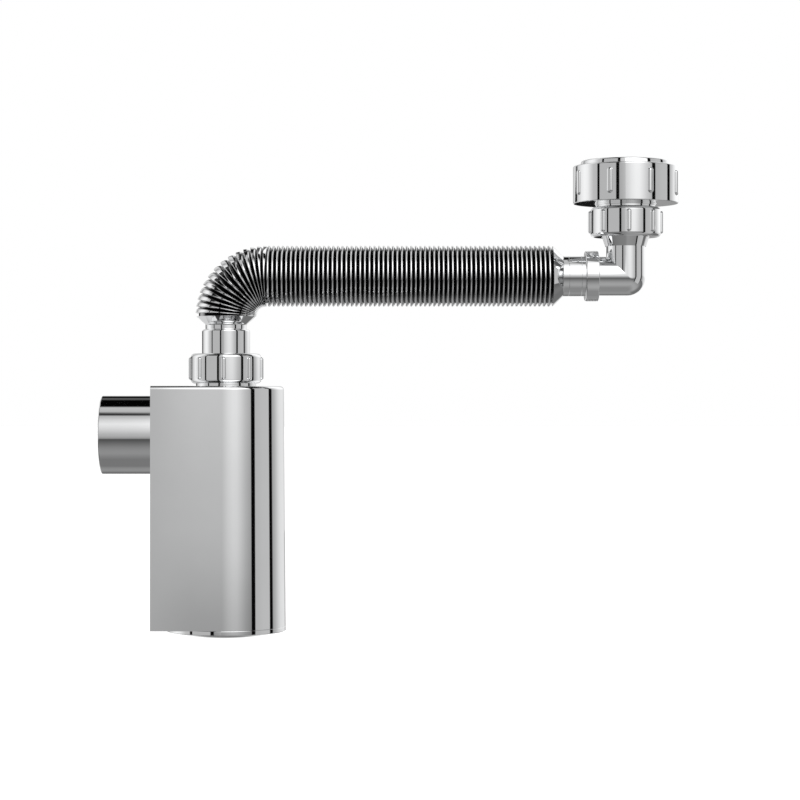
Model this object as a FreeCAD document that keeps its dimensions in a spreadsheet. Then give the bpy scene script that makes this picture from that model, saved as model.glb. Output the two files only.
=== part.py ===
import FreeCAD, Part
import Sketcher
import math
import os
import re

# Space-saving bottle trap with a concertina hose, in millimetres.
# The origin is the outlet's axis on the wall face. X leaves the wall, Z is up.
# The hose, the elbow and the waste nut stand in the plane Y = 0.

document = FreeCAD.newDocument("BottleTrap")

# Driving dimensions: name, value and meaning.
drivingSizes = [
    ("seatGap", 0.1, "clearance between hard pieces that run on each other"),
    ("softGap", 0.3, "clearance of rubber and of free ends"),
    ("cutMargin", 1.0, "how far a cut runs past a face"),
    ("spigotRadius", 25.0, "wall spigot, outside"),
    ("spigotLength", 34.4, "wall spigot in front of the housing's back"),
    ("spigotWall", 2.0, "wall of the spigot"),
    ("spigotEdge", 0.8, "rounding of the spigot's free end"),
    ("insertStep", 0.4, "step down to the spigot's inner length"),
    ("insertLength", 24.0, "spigot's inner length"),
    ("outletSealWidth", 5.0, "outlet seal along the pipe"),
    ("outletSealDepth", 2.8, "outlet seal across its section"),
    ("outletSealSetback", 4.0, "outlet seal behind the wall face"),
    ("sealInnerLip", 1.0, "outlet seal's inner lip, thickness"),
    ("sealOuterLip", 1.1, "outlet seal's outer lip, thickness"),
    ("sealFoot", 3.0, "outlet seal's solid foot along the pipe"),
    ("bodyRadius", 38.1, "housing at its foot"),
    ("bodyTaper", 1.2, "how much narrower the housing is at its top"),
    ("bodyCentre", 44.8, "housing's round axis from the wall face"),
    ("bodyDrop", 122.0, "housing's foot below the outlet's axis"),
    ("bodyCover", 1.6, "housing's top above the rear socket"),
    ("bodyWall", 2.5, "wall of the housing"),
    ("bodyPlate", 3.0, "thickness of the housing's top and foot"),
    ("bodyEdge", 1.2, "rounding of the housing's top edge"),
    ("socketWall", 5.0, "wall of the rear socket"),
    ("socketLength", 20.0, "rear socket from the wall face"),
    ("neckWall", 3.4, "wall of the threaded neck"),
    ("cuffGap", 0.5, "clearance of the lower cuff in the neck"),
    ("neckChamfer", 2.4, "cone in the mouth of a neck"),
    ("ledgeDepth", 11.5, "dip tube's ledge below the neck's mouth"),
    ("ledgeWidth", 1.2, "width of the dip tube's ledge"),
    ("footSleeveWall", 3.2, "wall of the threaded sleeve in the foot"),
    ("footSleeveHeight", 14.0, "threaded sleeve in the foot, height"),
    ("footWall", 5.1, "foot between its bore and its outside"),
    ("ringRecessRoom", 0.4, "room above and below the cap's ring"),
    ("capRing", 3.0, "height of the cap's rim"),
    ("capDome", 4.6, "height of the cap's dome"),
    ("capDomeInset", 1.6, "cap's dome inside its rim"),
    ("capPlugHeight", 12.0, "height of the cap's threaded plug"),
    ("capWall", 2.5, "wall of the cap"),
    ("capEdge", 0.4, "rounding of the cap's rim"),
    ("capRingSection", 0.9, "radius of the cap ring's section"),
    ("ledgeGap", 0.2, "clearance of the dip tube in its ledge"),
    ("dipWall", 1.8, "wall of the dip tube"),
    ("dipDepth", 80.0, "dip tube's end below the outlet's axis"),
    ("dipFlange", 2.0, "thickness of the dip tube's flange"),
    ("dipGasket", 1.6, "thickness of the flat ring on the flange"),
    ("unionClearance", 1.8, "inlet nut above the housing's top"),
    ("unionWall", 3.2, "union nuts, outside beyond the neck's thread"),
    ("unionHeight", 19.0, "union nuts, height"),
    ("unionFloor", 2.6, "union nuts, floor"),
    ("unionFloorGap", 0.15, "union nuts, clearance of the floor on its pipe"),
    ("unionEdge", 2.0, "union nuts, rounding"),
    ("unionRibs", 8, "union nuts, number of ribs"),
    ("unionRibHeight", 1.6, "union nuts, height of a rib over the wall"),
    ("unionRibWidth", 3.2, "union nuts, width of a rib"),
    ("unionRibMargin", 2.3, "union nuts, wall above and below a rib"),
    ("ribEdge", 0.8, "rounding of a rib"),
    ("ribRoot", 1.0, "how deep a rib starts in its nut's wall"),
    ("slipRingHeight", 1.4, "thickness of the slip rings"),
    ("sealRimHeight", 1.8, "rim of the conical seals"),
    ("cuffRadius", 15.3, "lower cuff, outside"),
    ("cuffRise", 36.2, "lower cuff's shoulder above the housing's top"),
    ("cuffEdge", 1.2, "rounding of the lower cuff's shoulder"),
    ("tailWall", 1.8, "wall of the hose's tails"),
    ("tailNeckRadius", 13.1, "neck between lower cuff and cone"),
    ("tailNeckLength", 3.2, "length of the neck between lower cuff and cone"),
    ("lowerConeLength", 5.2, "length of the lower cone"),
    ("lowerConeInset", 0.7, "lower cone's large end inside the crests"),
    ("bellowsCrest", 19.5, "bellows' crests"),
    ("foldDepth", 2.1, "depth of the bellows' folds"),
    ("bellowsWall", 1.2, "wall under the bellows' valleys"),
    ("bellowsSides", 28, "sides of the bellows' polygonal rings"),
    ("bendFolds", 14, "crests in the bend"),
    ("bendSpread", 0.2, "how much wider the crests stand at mid bend"),
    ("bendLead", 0.6, "first crest's place in its fold"),
    ("runFolds", 62, "crests in the straight run"),
    ("runLead", 0.45, "first straight crest's place in its fold"),
    ("valleyLead", 0.12, "valley before its crest, in folds"),
    ("bendCore", 6.3, "space between the crests inside the bend"),
    ("hoseEnd", 253.6, "bellows' upper end from the wall face"),
    ("upperConeInset", 0.2, "upper cone's large end inside the crests"),
    ("upperConeLength", 6.6, "upper cone, length"),
    ("upperCuffRadius", 12.8, "upper cuff, outside"),
    ("upperTailLength", 20.7, "upper cone and cuff, length"),
    ("upperCuffWall", 1.6, "wall of the upper cuff"),
    ("collarReach", 3.25, "collar's outside over the cuff"),
    ("collarLength", 8.6, "collar, length"),
    ("collarLip", 1.3, "collar's lip on the cuff's side"),
    ("collarWall", 1.1, "collar's wall"),
    ("collarEdge", 0.8, "rounding of the collar"),
    ("beadWall", 1.3, "wall of the cuff's mouth"),
    ("mouthFloor", 1.2, "floor of the cuff's mouth"),
    ("elbowFlange", 3.0, "thickness of the elbow's flange"),
    ("noseLength", 13.0, "elbow's nose, length"),
    ("noseGroove", 1.3, "depth of the nose's grooves"),
    ("noseGrooveRoom", 0.32, "room beside the nose rings in their grooves"),
    ("noseRingGap", 0.06, "clearance under and over the nose rings"),
    ("noseLead", 3.0, "first groove from the elbow's flange"),
    ("noseRingPitch", 5.0, "distance between the nose's grooves"),
    ("noseBore", 8.2, "bore of the nose"),
    ("elbowRadius", 12.4, "elbow's tube, outside"),
    ("elbowWall", 2.2, "wall of the elbow"),
    ("elbowCorner", 11.0, "rounding of the elbow's outer corner"),
    ("elbowReach", 26.2, "elbow's upright axis from the cuff's end"),
    ("flareLength", 6.0, "flare's length"),
    ("flareStep", 0.6, "step under the flare"),
    ("risePipeRadius", 15.0, "elbow's upper pipe, outside"),
    ("risePipeInset", 4.6, "elbow's upper end below the elbow nut's top"),
    ("elbowNutRise", 25.0, "elbow nut's foot above the hose's axis"),
    ("adapterWall", 3.6, "wall of the adapter's threaded end"),
    ("adapterStopGap", 1.0, "adapter's stop above the elbow's end"),
    ("adapterStopWidth", 1.8, "width of the adapter's stop over the pipe"),
    ("adapterStepGap", 1.2, "adapter's step above the elbow nut"),
    ("adapterCollarStep", 0.5, "adapter's collar over its threaded end"),
    ("adapterFlange", 2.3, "thickness of the adapter's flange"),
    ("adapterFlangeGap", 0.22, "clearance of the adapter's flange in the thread"),
    ("adapterFlangeWidth", 3.6, "width of the adapter's flange face"),
    ("wasteGasket", 2.8, "thickness of the waste gasket"),
    ("wasteNutGap", 1.2, "waste nut's foot above the adapter's step"),
    ("wasteNutStep", 4.8, "waste nut's wall outside its rim"),
    ("wasteNutHeight", 23.9, "waste nut's ribbed height"),
    ("wasteNutFloor", 3.0, "waste nut's floor"),
    ("wasteNutBore", 22.42, "waste nut's bore at its thread's crests"),
    ("wasteRelief", 1.1, "waste nut's thread relief, depth"),
    ("wasteReliefRoom", 0.1, "waste nut's thread relief above the gasket"),
    ("wasteNutEdge", 0.9, "rounding of the waste nut's top"),
    ("wasteRimWall", 6.38, "wall of the waste nut's rim"),
    ("wasteRimHeight", 3.3, "waste nut's rim, height"),
    ("wasteMouthChamfer", 1.2, "chamfer in the waste nut's mouth"),
    ("wasteRibs", 8, "waste nut, number of ribs"),
    ("wasteRibHeight", 1.2, "waste nut, height of a rib over the wall"),
    ("wasteRibWidth", 4.0, "waste nut, width of a rib"),
    ("wasteRibMargin", 3.3, "waste nut, wall above a rib"),
    ("wasteRibFoot", 4.2, "waste nut's ribs above its foot"),
    ("wasteRibPhase", 22.5, "waste nut's ribs turned from the X axis"),
]

# Sizes that follow from the driving ones.
derivedSizes = {
    "insertRadius": "spigotRadius - insertStep",
    "socketRadius": "insertRadius + socketWall",
    "bodyTopRadius": "bodyRadius - bodyTaper",
    "bodyRise": "socketRadius + bodyCover",
    "neckBore": "cuffRadius + cuffGap",
    "neckRadius": "neckBore + neckWall",
    "ledgeBore": "neckBore - ledgeWidth",
    "dipRadius": "ledgeBore - ledgeGap",
    "footBore": "bodyRadius - footWall",
    "footSleeveRadius": "footBore + footSleeveWall",
    "ringRecessRadius": "footBore + 2 * capRingSection + 2 * seatGap",
    "ringRecessDepth": "2 * capRingSection + ringRecessRoom",
    "unionRadius": "neckRadius + unionWall",
    "unionRibRadius": "unionRadius + unionRibHeight",
    "unionRibLength": "unionHeight - 2 * unionRibMargin",
    "cuffTop": "bodyRise + cuffRise",
    "tailNeckTop": "cuffTop + tailNeckLength",
    "bellowsFoot": "tailNeckTop + lowerConeLength",
    "bellowsRoot": "bellowsCrest - foldDepth",
    "bellowsBore": "bellowsRoot - bellowsWall",
    "lowerConeRadius": "bellowsCrest - lowerConeInset",
    "upperConeRadius": "bellowsCrest - upperConeInset",
    "hoseHeight": "bellowsFoot + bellowsCrest + bendCore",
    "upperCuffEnd": "hoseEnd + upperTailLength",
    "socketBore": "upperCuffRadius - upperCuffWall",
    "collarRadius": "upperCuffRadius + collarReach",
    "noseRadius": "socketBore - softGap",
    "noseRingSection": "(socketBore - noseRadius + noseGroove) / 2 - noseRingGap",
    "noseGrooveWidth": "2 * noseRingSection + noseGrooveRoom",
    "elbowAxis": "upperCuffEnd + elbowReach",
    "elbowNutFoot": "hoseHeight + elbowNutRise",
    "flareFoot": "elbowNutFoot - flareLength",
    "flareFootRadius": "elbowRadius + flareStep",
    "risePipeTop": "elbowNutFoot + unionHeight - risePipeInset",
    "adapterBore": "risePipeRadius + softGap",
    "adapterRadius": "adapterBore + adapterWall",
    "adapterStop": "risePipeTop + adapterStopGap",
    "adapterStopBore": "risePipeRadius - adapterStopWidth",
    "adapterStep": "elbowNutFoot + unionHeight + adapterStepGap",
    "adapterCollar": "adapterRadius + adapterCollarStep",
    "adapterFlangeRadius": "wasteNutBore - adapterFlangeGap",
    "adapterMouth": "adapterFlangeRadius - adapterFlangeWidth",
    "wasteNutFoot": "adapterStep + wasteNutGap",
    "wasteReliefTop": "wasteNutFloor + seatGap + adapterFlange + wasteGasket + wasteReliefRoom",
    "wasteRimRadius": "wasteNutBore + wasteRimWall",
    "wasteNutRadius": "wasteRimRadius + wasteNutStep",
    "wasteRibRadius": "wasteNutRadius + wasteRibHeight",
    "wasteRibLength": "wasteNutHeight - wasteRibFoot - wasteRibMargin",
}

sizes = document.addObject("Spreadsheet::Sheet", "Sizes")
for row, (alias, value, meaning) in enumerate(drivingSizes, start=1):
    sizes.set(f"A{row}", meaning)
    sizes.set(f"B{row}", str(value))
    sizes.setAlias(f"B{row}", alias)
document.recompute()

aliases = {alias for alias, value, meaning in drivingSizes}
tolerance = 1e-4
sewing = 1e-6


def bound(formula):
    """A formula over the sizes, as an expression on the sheet's driving dimensions."""
    def spelled(word):
        name = word.group()
        if name in derivedSizes:
            return f"({bound(derivedSizes[name])})"
        return f"Sizes.{name}" if name in aliases else name
    return re.sub(r"[A-Za-z]\w*", spelled, str(formula))


def amount(formula):
    """The formula's present value."""
    return float(sizes.evalExpression(bound(formula)))


# Heights and places that several pieces share.
neckMouth = (
    "(bodyRise + unionClearance + unionHeight - unionFloor - slipRingHeight"
    " - sealRimHeight - 2 * seatGap - softGap)"
)
dipLedge = f"({neckMouth} - ledgeDepth)"
tailFoot = f"({dipLedge} + dipFlange + dipGasket + softGap)"
adapterFoot = (
    "(elbowNutFoot + unionFloor + slipRingHeight + sealRimHeight + 2 * seatGap + softGap)"
)
flangeSeat = "(wasteNutFoot + wasteNutFloor + seatGap)"
collarStart = "upperCuffEnd"
elbowFlangeStart = "(upperCuffEnd + collarLip + seatGap + mouthFloor)"
beadEnd = f"({elbowFlangeStart} + elbowFlange + seatGap)"
beadRadius = "(collarRadius - collarWall - seatGap)"
beadBore = f"({beadRadius} - beadWall)"


def originPart(body, role):
    return next(item for item in body.Origin.OriginFeatures if item.Role == role)


def newBody(label, x="0", z="0", axis=None, turn="0"):
    """A body whose frame stands at X = x, Z = z, turned about the given axis."""
    body = document.addObject("PartDesign::Body", label)
    body.Label = label
    body.setExpression("Placement.Base.x", bound(x))
    body.setExpression("Placement.Base.z", bound(z))
    if axis is not None:
        body.Placement = FreeCAD.Placement(FreeCAD.Vector(), FreeCAD.Rotation(axis, 1))
        body.setExpression("Placement.Rotation.Angle", bound(turn))
    return body


def newSketch(body, name, role="XZ_Plane", lift="0", offset="0"):
    """A sketch on an origin plane, lifted in its plane and offset along its normal."""
    sketch = body.newObject("Sketcher::SketchObject", name)
    sketch.AttachmentSupport = (originPart(body, role), [""])
    sketch.MapMode = "FlatFace"
    sketch.setExpression("AttachmentOffset.Base.y", bound(lift))
    sketch.setExpression("AttachmentOffset.Base.z", bound(offset))
    return sketch


def drive(sketch, constraint, formula):
    """Adds a dimension and binds it to the sheet."""
    index = sketch.addConstraint(constraint)
    sketch.setExpression(f"Constraints[{index}]", bound(formula))


def drawOutline(sketch, corners):
    """A closed outline through corners given as pairs of formulas.

    A corner with "arc" as its third value starts an arc centred on the vertical axis.
    """
    points = [FreeCAD.Vector(amount(corner[0]), amount(corner[1]), 0) for corner in corners]
    count = len(corners)
    for index, corner in enumerate(corners):
        start = points[index]
        end = points[(index + 1) % count]
        if len(corner) == 3:
            half = (end.x - start.x) / 2
            sag = abs(end.y - start.y)
            radius = (4 * half * half + sag * sag) / (2 * sag)
            centre = start.y + math.copysign(radius, end.y - start.y)
            reach = math.copysign(math.sqrt(radius * radius - half * half), start.y - centre)
            middle = FreeCAD.Vector(half, centre + reach, 0)
            sketch.addGeometry(Part.Arc(start, middle, end), False)
        else:
            sketch.addGeometry(Part.LineSegment(start, end), False)
    ends = []
    for index, corner in enumerate(corners):
        geometry = sketch.Geometry[index]
        forward = geometry.StartPoint.distanceToPoint(points[index]) < tolerance
        ends.append((1, 2) if forward else (2, 1))
    for index, corner in enumerate(corners):
        following = (index + 1) % count
        sketch.addConstraint(
            Sketcher.Constraint("Coincident", index, ends[index][1], following, ends[following][0])
        )
        place = points[index]
        drive(sketch, Sketcher.Constraint("DistanceX", -1, 1, index, ends[index][0], place.x), corner[0])
        drive(sketch, Sketcher.Constraint("DistanceY", -1, 1, index, ends[index][0], place.y), corner[1])
        if len(corner) == 3:
            sketch.addConstraint(Sketcher.Constraint("PointOnObject", index, 3, -2))


def turned(body, name, corners, cut=False, lift="0", axis="V_Axis"):
    """A turned shape, added or cut, about the sketch's upright or level axis."""
    sketch = newSketch(body, name + "Profile", lift=lift)
    drawOutline(sketch, corners)
    feature = body.newObject("PartDesign::Groove" if cut else "PartDesign::Revolution", name)
    feature.Profile = sketch
    feature.ReferenceAxis = (sketch, [axis])
    feature.Angle = 360
    document.recompute()
    return feature


def rimEdges(shape, radius, height):
    """Names of the circular edges about the Z axis with this radius and height."""
    names = []
    for index, edge in enumerate(shape.Edges, start=1):
        if edge.Degenerated or not isinstance(edge.Curve, Part.Circle):
            continue
        if abs(edge.Curve.Axis.z) < 0.99:
            continue
        centre = edge.Curve.Center
        if math.hypot(centre.x, centre.y) > tolerance or abs(centre.z - height) > tolerance:
            continue
        if abs(edge.Curve.Radius - radius) < tolerance:
            names.append(f"Edge{index}")
    return names


def rounded(body, name, feature, names, radius):
    """A fillet on named edges of the body's last feature."""
    fillet = body.newObject("PartDesign::Fillet", name)
    fillet.Base = (feature, names)
    fillet.setExpression("Radius", bound(radius))
    document.recompute()
    return fillet


def roundedRims(body, name, feature, rims, radius):
    """A fillet on circular rims, each given as a radius and a height."""
    names = []
    for rimRadius, rimHeight in rims:
        names += rimEdges(feature.Shape, amount(rimRadius), amount(rimHeight))
    return rounded(body, name, feature, names, radius)


def addRibs(body, wallRadius, ribRadius, width, length, foot, count):
    """Grip ribs with round ends, proud of a nut's wall."""
    sketch = newSketch(body, "RibOutline", role="YZ_Plane", offset=f"{wallRadius} - ribRoot")
    half = amount(width) / 2
    low = amount(foot) + half
    high = amount(foot) + amount(length) - half
    up = FreeCAD.Vector(0, 0, 1)
    lowArc = Part.ArcOfCircle(Part.Circle(FreeCAD.Vector(0, low, 0), up, half), math.pi, 2 * math.pi)
    highArc = Part.ArcOfCircle(Part.Circle(FreeCAD.Vector(0, high, 0), up, half), 0, math.pi)
    sketch.addGeometry(lowArc, False)
    sketch.addGeometry(
        Part.LineSegment(FreeCAD.Vector(half, low, 0), FreeCAD.Vector(half, high, 0)), False
    )
    sketch.addGeometry(highArc, False)
    sketch.addGeometry(
        Part.LineSegment(FreeCAD.Vector(-half, high, 0), FreeCAD.Vector(-half, low, 0)), False
    )
    for first, firstEnd, second, secondEnd in ((0, 2, 1, 1), (1, 2, 2, 1), (2, 2, 3, 1), (3, 2, 0, 1)):
        sketch.addConstraint(Sketcher.Constraint("Tangent", first, firstEnd, second, secondEnd))
    sketch.addConstraint(Sketcher.Constraint("PointOnObject", 0, 3, -2))
    sketch.addConstraint(Sketcher.Constraint("Vertical", 1))
    drive(sketch, Sketcher.Constraint("Radius", 0, half), f"{width} / 2")
    drive(sketch, Sketcher.Constraint("DistanceY", -1, 1, 0, 3, low), f"{foot} + {width} / 2")
    drive(
        sketch,
        Sketcher.Constraint("DistanceY", -1, 1, 2, 3, high),
        f"{foot} + {length} - {width} / 2",
    )
    rib = body.newObject("PartDesign::Pad", "Rib")
    rib.Profile = sketch
    rib.setExpression("Length", bound(f"{ribRadius} - {wallRadius} + ribRoot"))
    document.recompute()
    ring = body.newObject("PartDesign::PolarPattern", "Ribs")
    ring.Originals = [rib]
    ring.Axis = (originPart(body, "Z_Axis"), [""])
    ring.Angle = 360
    ring.setExpression("Occurrences", bound(count))
    body.Tip = ring
    document.recompute()
    return ring


def ribEdges(shape, ribRadius, count):
    """Names of the edges around the outer faces of the ribs."""
    step = 2 * math.pi / count
    names = []
    for index, edge in enumerate(shape.Edges, start=1):
        samples = [edge.valueAt(edge.FirstParameter + part * (edge.LastParameter - edge.FirstParameter))
                   for part in (0, 0.5, 1)]
        angles = [math.atan2(point.y, point.x) for point in samples]
        turns = [angle - step * round(angle / step) for angle in angles]
        reach = [math.hypot(point.x, point.y) * math.cos(turn) for point, turn in zip(samples, turns)]
        if all(abs(value - ribRadius) < tolerance for value in reach):
            names.append(f"Edge{index}")
    return names


# Wall spigot: its wide length is the part in front of the housing's back.
spigot = newBody("outlet_pipe", x="insertLength", axis=FreeCAD.Vector(0, 1, 0), turn="-90")
spigotTurned = turned(spigot, "SpigotTube", [
    ("insertRadius - spigotWall", "0"),
    ("insertRadius", "0"),
    ("insertRadius", "insertLength"),
    ("spigotRadius", "insertLength"),
    ("spigotRadius", "insertLength + spigotLength"),
    ("insertRadius - spigotWall", "insertLength + spigotLength"),
])
roundedRims(
    spigot, "SpigotMouth", spigotTurned, [("spigotRadius", "insertLength + spigotLength")], "spigotEdge"
)

# Lip seal in the housing's rear socket.
outletSeal = newBody("outlet_seal", x="outletSealSetback + seatGap", axis=FreeCAD.Vector(0, 1, 0), turn="90")
turned(outletSeal, "SealRing", [
    ("insertRadius + seatGap", "0"),
    ("insertRadius + seatGap + outletSealDepth", "0"),
    ("insertRadius + seatGap + outletSealDepth", "outletSealWidth"),
    ("insertRadius + seatGap + outletSealDepth - sealOuterLip", "outletSealWidth"),
    ("insertRadius + seatGap + outletSealDepth / 2", "sealFoot"),
    ("insertRadius + seatGap + sealInnerLip", "outletSealWidth"),
    ("insertRadius + seatGap", "outletSealWidth"),
])

# Housing: a D in plan that narrows a little towards its top, hollow, with a rear
# socket for the spigot, a threaded neck on top and a threaded sleeve in its foot.
# Its frame stands on the foot, on the axis of the round part.
housing = newBody("trap_housing", x="bodyCentre", z="-bodyDrop")
housingHeight = "(bodyDrop + bodyRise)"


def drawPlan(name, radius, back, offset):
    """The housing's D: a half round and a straight back at x = -back."""
    sketch = newSketch(housing, name, role="XY_Plane", offset=offset)
    reach = amount(radius)
    rear = amount(back)
    sketch.addGeometry(
        Part.LineSegment(FreeCAD.Vector(-rear, reach, 0), FreeCAD.Vector(-rear, -reach, 0)), False
    )
    sketch.addGeometry(
        Part.LineSegment(FreeCAD.Vector(-rear, -reach, 0), FreeCAD.Vector(0, -reach, 0)), False
    )
    roundPart = Part.Circle(FreeCAD.Vector(0, 0, 0), FreeCAD.Vector(0, 0, 1), reach)
    sketch.addGeometry(Part.ArcOfCircle(roundPart, -math.pi / 2, math.pi / 2), False)
    sketch.addGeometry(
        Part.LineSegment(FreeCAD.Vector(0, reach, 0), FreeCAD.Vector(-rear, reach, 0)), False
    )
    for first, firstEnd, second, secondEnd in ((0, 2, 1, 1), (3, 2, 0, 1)):
        sketch.addConstraint(Sketcher.Constraint("Coincident", first, firstEnd, second, secondEnd))
    for first, firstEnd, second, secondEnd in ((1, 2, 2, 1), (2, 2, 3, 1)):
        sketch.addConstraint(Sketcher.Constraint("Tangent", first, firstEnd, second, secondEnd))
    sketch.addConstraint(Sketcher.Constraint("Coincident", 2, 3, -1, 1))
    sketch.addConstraint(Sketcher.Constraint("Vertical", 0))
    sketch.addConstraint(Sketcher.Constraint("Horizontal", 1))
    sketch.addConstraint(Sketcher.Constraint("Horizontal", 3))
    drive(sketch, Sketcher.Constraint("Radius", 2, reach), radius)
    drive(sketch, Sketcher.Constraint("DistanceX", 0, 2, -1, 1, rear), back)
    return sketch


outerFoot = drawPlan("OuterFoot", "bodyRadius", "bodyCentre + cutMargin", "0")
outerTop = drawPlan("OuterTop", "bodyTopRadius", "bodyCentre + cutMargin", housingHeight)
shell = housing.newObject("PartDesign::AdditiveLoft", "Shell")
shell.Profile = outerFoot
shell.Sections = [outerTop]
shell.Ruled = True
document.recompute()
backOutline = newSketch(housing, "BackOutline", role="YZ_Plane", offset="-bodyCentre")
drawOutline(backOutline, [
    ("-bodyRadius - cutMargin", "-cutMargin"),
    ("bodyRadius + cutMargin", "-cutMargin"),
    ("bodyRadius + cutMargin", f"{housingHeight} + cutMargin"),
    ("-bodyRadius - cutMargin", f"{housingHeight} + cutMargin"),
])
flatBack = housing.newObject("PartDesign::Pocket", "FlatBack")
flatBack.Profile = backOutline
flatBack.setExpression("Length", bound("2 * cutMargin"))
document.recompute()
topEdges = [
    f"Edge{index}" for index, edge in enumerate(flatBack.Shape.Edges, start=1)
    if abs(edge.CenterOfMass.z - amount(housingHeight)) < tolerance
    and edge.CenterOfMass.x > tolerance - amount("bodyCentre")
]
rounded(housing, "TopEdge", flatBack, topEdges, "bodyEdge")
innerFoot = drawPlan("InnerFoot", "bodyRadius - bodyWall", "bodyCentre - bodyWall", "bodyPlate")
innerTop = drawPlan(
    "InnerTop", "bodyTopRadius - bodyWall", "bodyCentre - bodyWall", f"{housingHeight} - bodyPlate"
)
chamber = housing.newObject("PartDesign::SubtractiveLoft", "Chamber")
chamber.Profile = innerFoot
chamber.Sections = [innerTop]
chamber.Ruled = True
document.recompute()
neckTop = f"(bodyDrop + {neckMouth})"
turned(housing, "Neck", [
    ("0", f"{housingHeight} - bodyPlate"),
    ("neckRadius", f"{housingHeight} - bodyPlate"),
    ("neckRadius", neckTop),
    ("0", neckTop),
])
turned(housing, "FootSleeve", [
    ("0", "0"),
    ("footSleeveRadius", "0"),
    ("footSleeveRadius", "footSleeveHeight"),
    ("0", "footSleeveHeight"),
])
turned(housing, "RearSocket", [
    ("-bodyCentre", "0"),
    ("-bodyCentre", "socketRadius"),
    ("-bodyCentre + socketLength", "socketRadius"),
    ("-bodyCentre + socketLength", "0"),
], lift="bodyDrop", axis="H_Axis")
turned(housing, "NeckBore", [
    ("0", f"{housingHeight} - bodyPlate - cutMargin"),
    ("ledgeBore", f"{housingHeight} - bodyPlate - cutMargin"),
    ("ledgeBore", f"bodyDrop + {dipLedge}"),
    ("neckBore", f"bodyDrop + {dipLedge}"),
    ("neckBore", f"{neckTop} - neckChamfer"),
    ("neckBore + neckChamfer", neckTop),
    ("0", neckTop),
], cut=True)
turned(housing, "FootBore", [
    ("0", "0"),
    ("ringRecessRadius", "0"),
    ("ringRecessRadius", "ringRecessDepth"),
    ("footBore", "ringRecessDepth"),
    ("footBore", "footSleeveHeight + cutMargin"),
    ("0", "footSleeveHeight + cutMargin"),
], cut=True)
grooveFront = "(-bodyCentre + outletSealSetback)"
grooveEnd = f"({grooveFront} + outletSealWidth + 2 * seatGap)"
grooveRadius = "(insertRadius + outletSealDepth + 2 * seatGap)"
turned(housing, "SocketBore", [
    ("-bodyCentre", "0"),
    ("-bodyCentre", "insertRadius + seatGap"),
    (grooveFront, "insertRadius + seatGap"),
    (grooveFront, grooveRadius),
    (grooveEnd, grooveRadius),
    (grooveEnd, "insertRadius + seatGap"),
    ("-bodyCentre + socketLength + cutMargin", "insertRadius + seatGap"),
    ("-bodyCentre + socketLength + cutMargin", "0"),
], cut=True, lift="bodyDrop", axis="H_Axis")

# Dip tube, hung on the neck's ledge, and the flat ring on its flange.
dipLength = f"({dipLedge} + dipDepth)"
dipTube = newBody("dip_tube", x="bodyCentre", z="-dipDepth")
turned(dipTube, "Tube", [
    ("dipRadius - dipWall", "0"),
    ("dipRadius", "0"),
    ("dipRadius", dipLength),
    ("neckBore - softGap", dipLength),
    ("neckBore - softGap", f"{dipLength} + dipFlange"),
    ("dipRadius - dipWall", f"{dipLength} + dipFlange"),
])
dipGasket = newBody("dip_tube_gasket", x="bodyCentre", z=f"{dipLedge} + dipFlange")
turned(dipGasket, "FlatRing", [
    ("dipRadius - dipWall", "0"),
    ("neckBore - softGap", "0"),
    ("neckBore - softGap", "dipGasket"),
    ("dipRadius - dipWall", "dipGasket"),
])

# Cleaning cap: a dome, a rim flush with the housing and a hollow threaded plug.
capHeight = "(capDome + capRing)"
cap = newBody("cleaning_cap", x="bodyCentre", z=f"-bodyDrop - {capHeight}")
capTurned = turned(cap, "Cap", [
    ("0", "0", "arc"),
    ("bodyRadius - capDomeInset", "capDome"),
    ("bodyRadius", "capDome"),
    ("bodyRadius", capHeight),
    ("footBore - seatGap", capHeight),
    ("footBore - seatGap", f"{capHeight} + capPlugHeight"),
    ("footBore - seatGap - capWall", f"{capHeight} + capPlugHeight"),
    ("footBore - seatGap - capWall", "capDome + capWall"),
    ("0", "capDome + capWall"),
])
roundedRims(cap, "CapRim", capTurned, [("bodyRadius", "capDome")], "capEdge")
capSealRing = document.addObject("Part::Torus", "cap_o_ring")
capSealRing.Label = "cap_o_ring"
capSealRing.setExpression("Radius1", bound("footBore + capRingSection"))
capSealRing.setExpression("Radius2", bound("capRingSection"))
capSealRing.setExpression("Placement.Base.x", bound("bodyCentre"))
capSealRing.setExpression("Placement.Base.z", bound("-bodyDrop + capRingSection + seatGap"))


def makeUnion(label, x, z, pipeRadius, threadRadius, upright):
    """A ribbed union nut with its floor on top, or at its foot when upright is false."""
    if upright:
        nut = newBody(label, x=x, z=z)
    else:
        nut = newBody(label, x=x, z=f"{z} + unionHeight", axis=FreeCAD.Vector(1, 0, 0), turn="180")
    barrel = turned(nut, "Barrel", [
        (f"{threadRadius} + seatGap", "0"),
        ("unionRadius", "0"),
        ("unionRadius", "unionHeight"),
        (f"{pipeRadius} + unionFloorGap", "unionHeight"),
        (f"{pipeRadius} + unionFloorGap", "unionHeight - unionFloor"),
        (f"{threadRadius} + seatGap", "unionHeight - unionFloor"),
    ])
    roundedRims(
        nut, "Edges", barrel, [("unionRadius", "0"), ("unionRadius", "unionHeight")], "unionEdge"
    )
    ribs = addRibs(
        nut, "unionRadius", "unionRibRadius", "unionRibWidth", "unionRibLength",
        "(unionHeight - unionRibLength) / 2", "unionRibs",
    )
    edges = ribEdges(ribs.Shape, amount("unionRibRadius"), amount("unionRibs"))
    rounded(nut, "RibEdges", ribs, edges, "ribEdge")
    return nut


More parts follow.
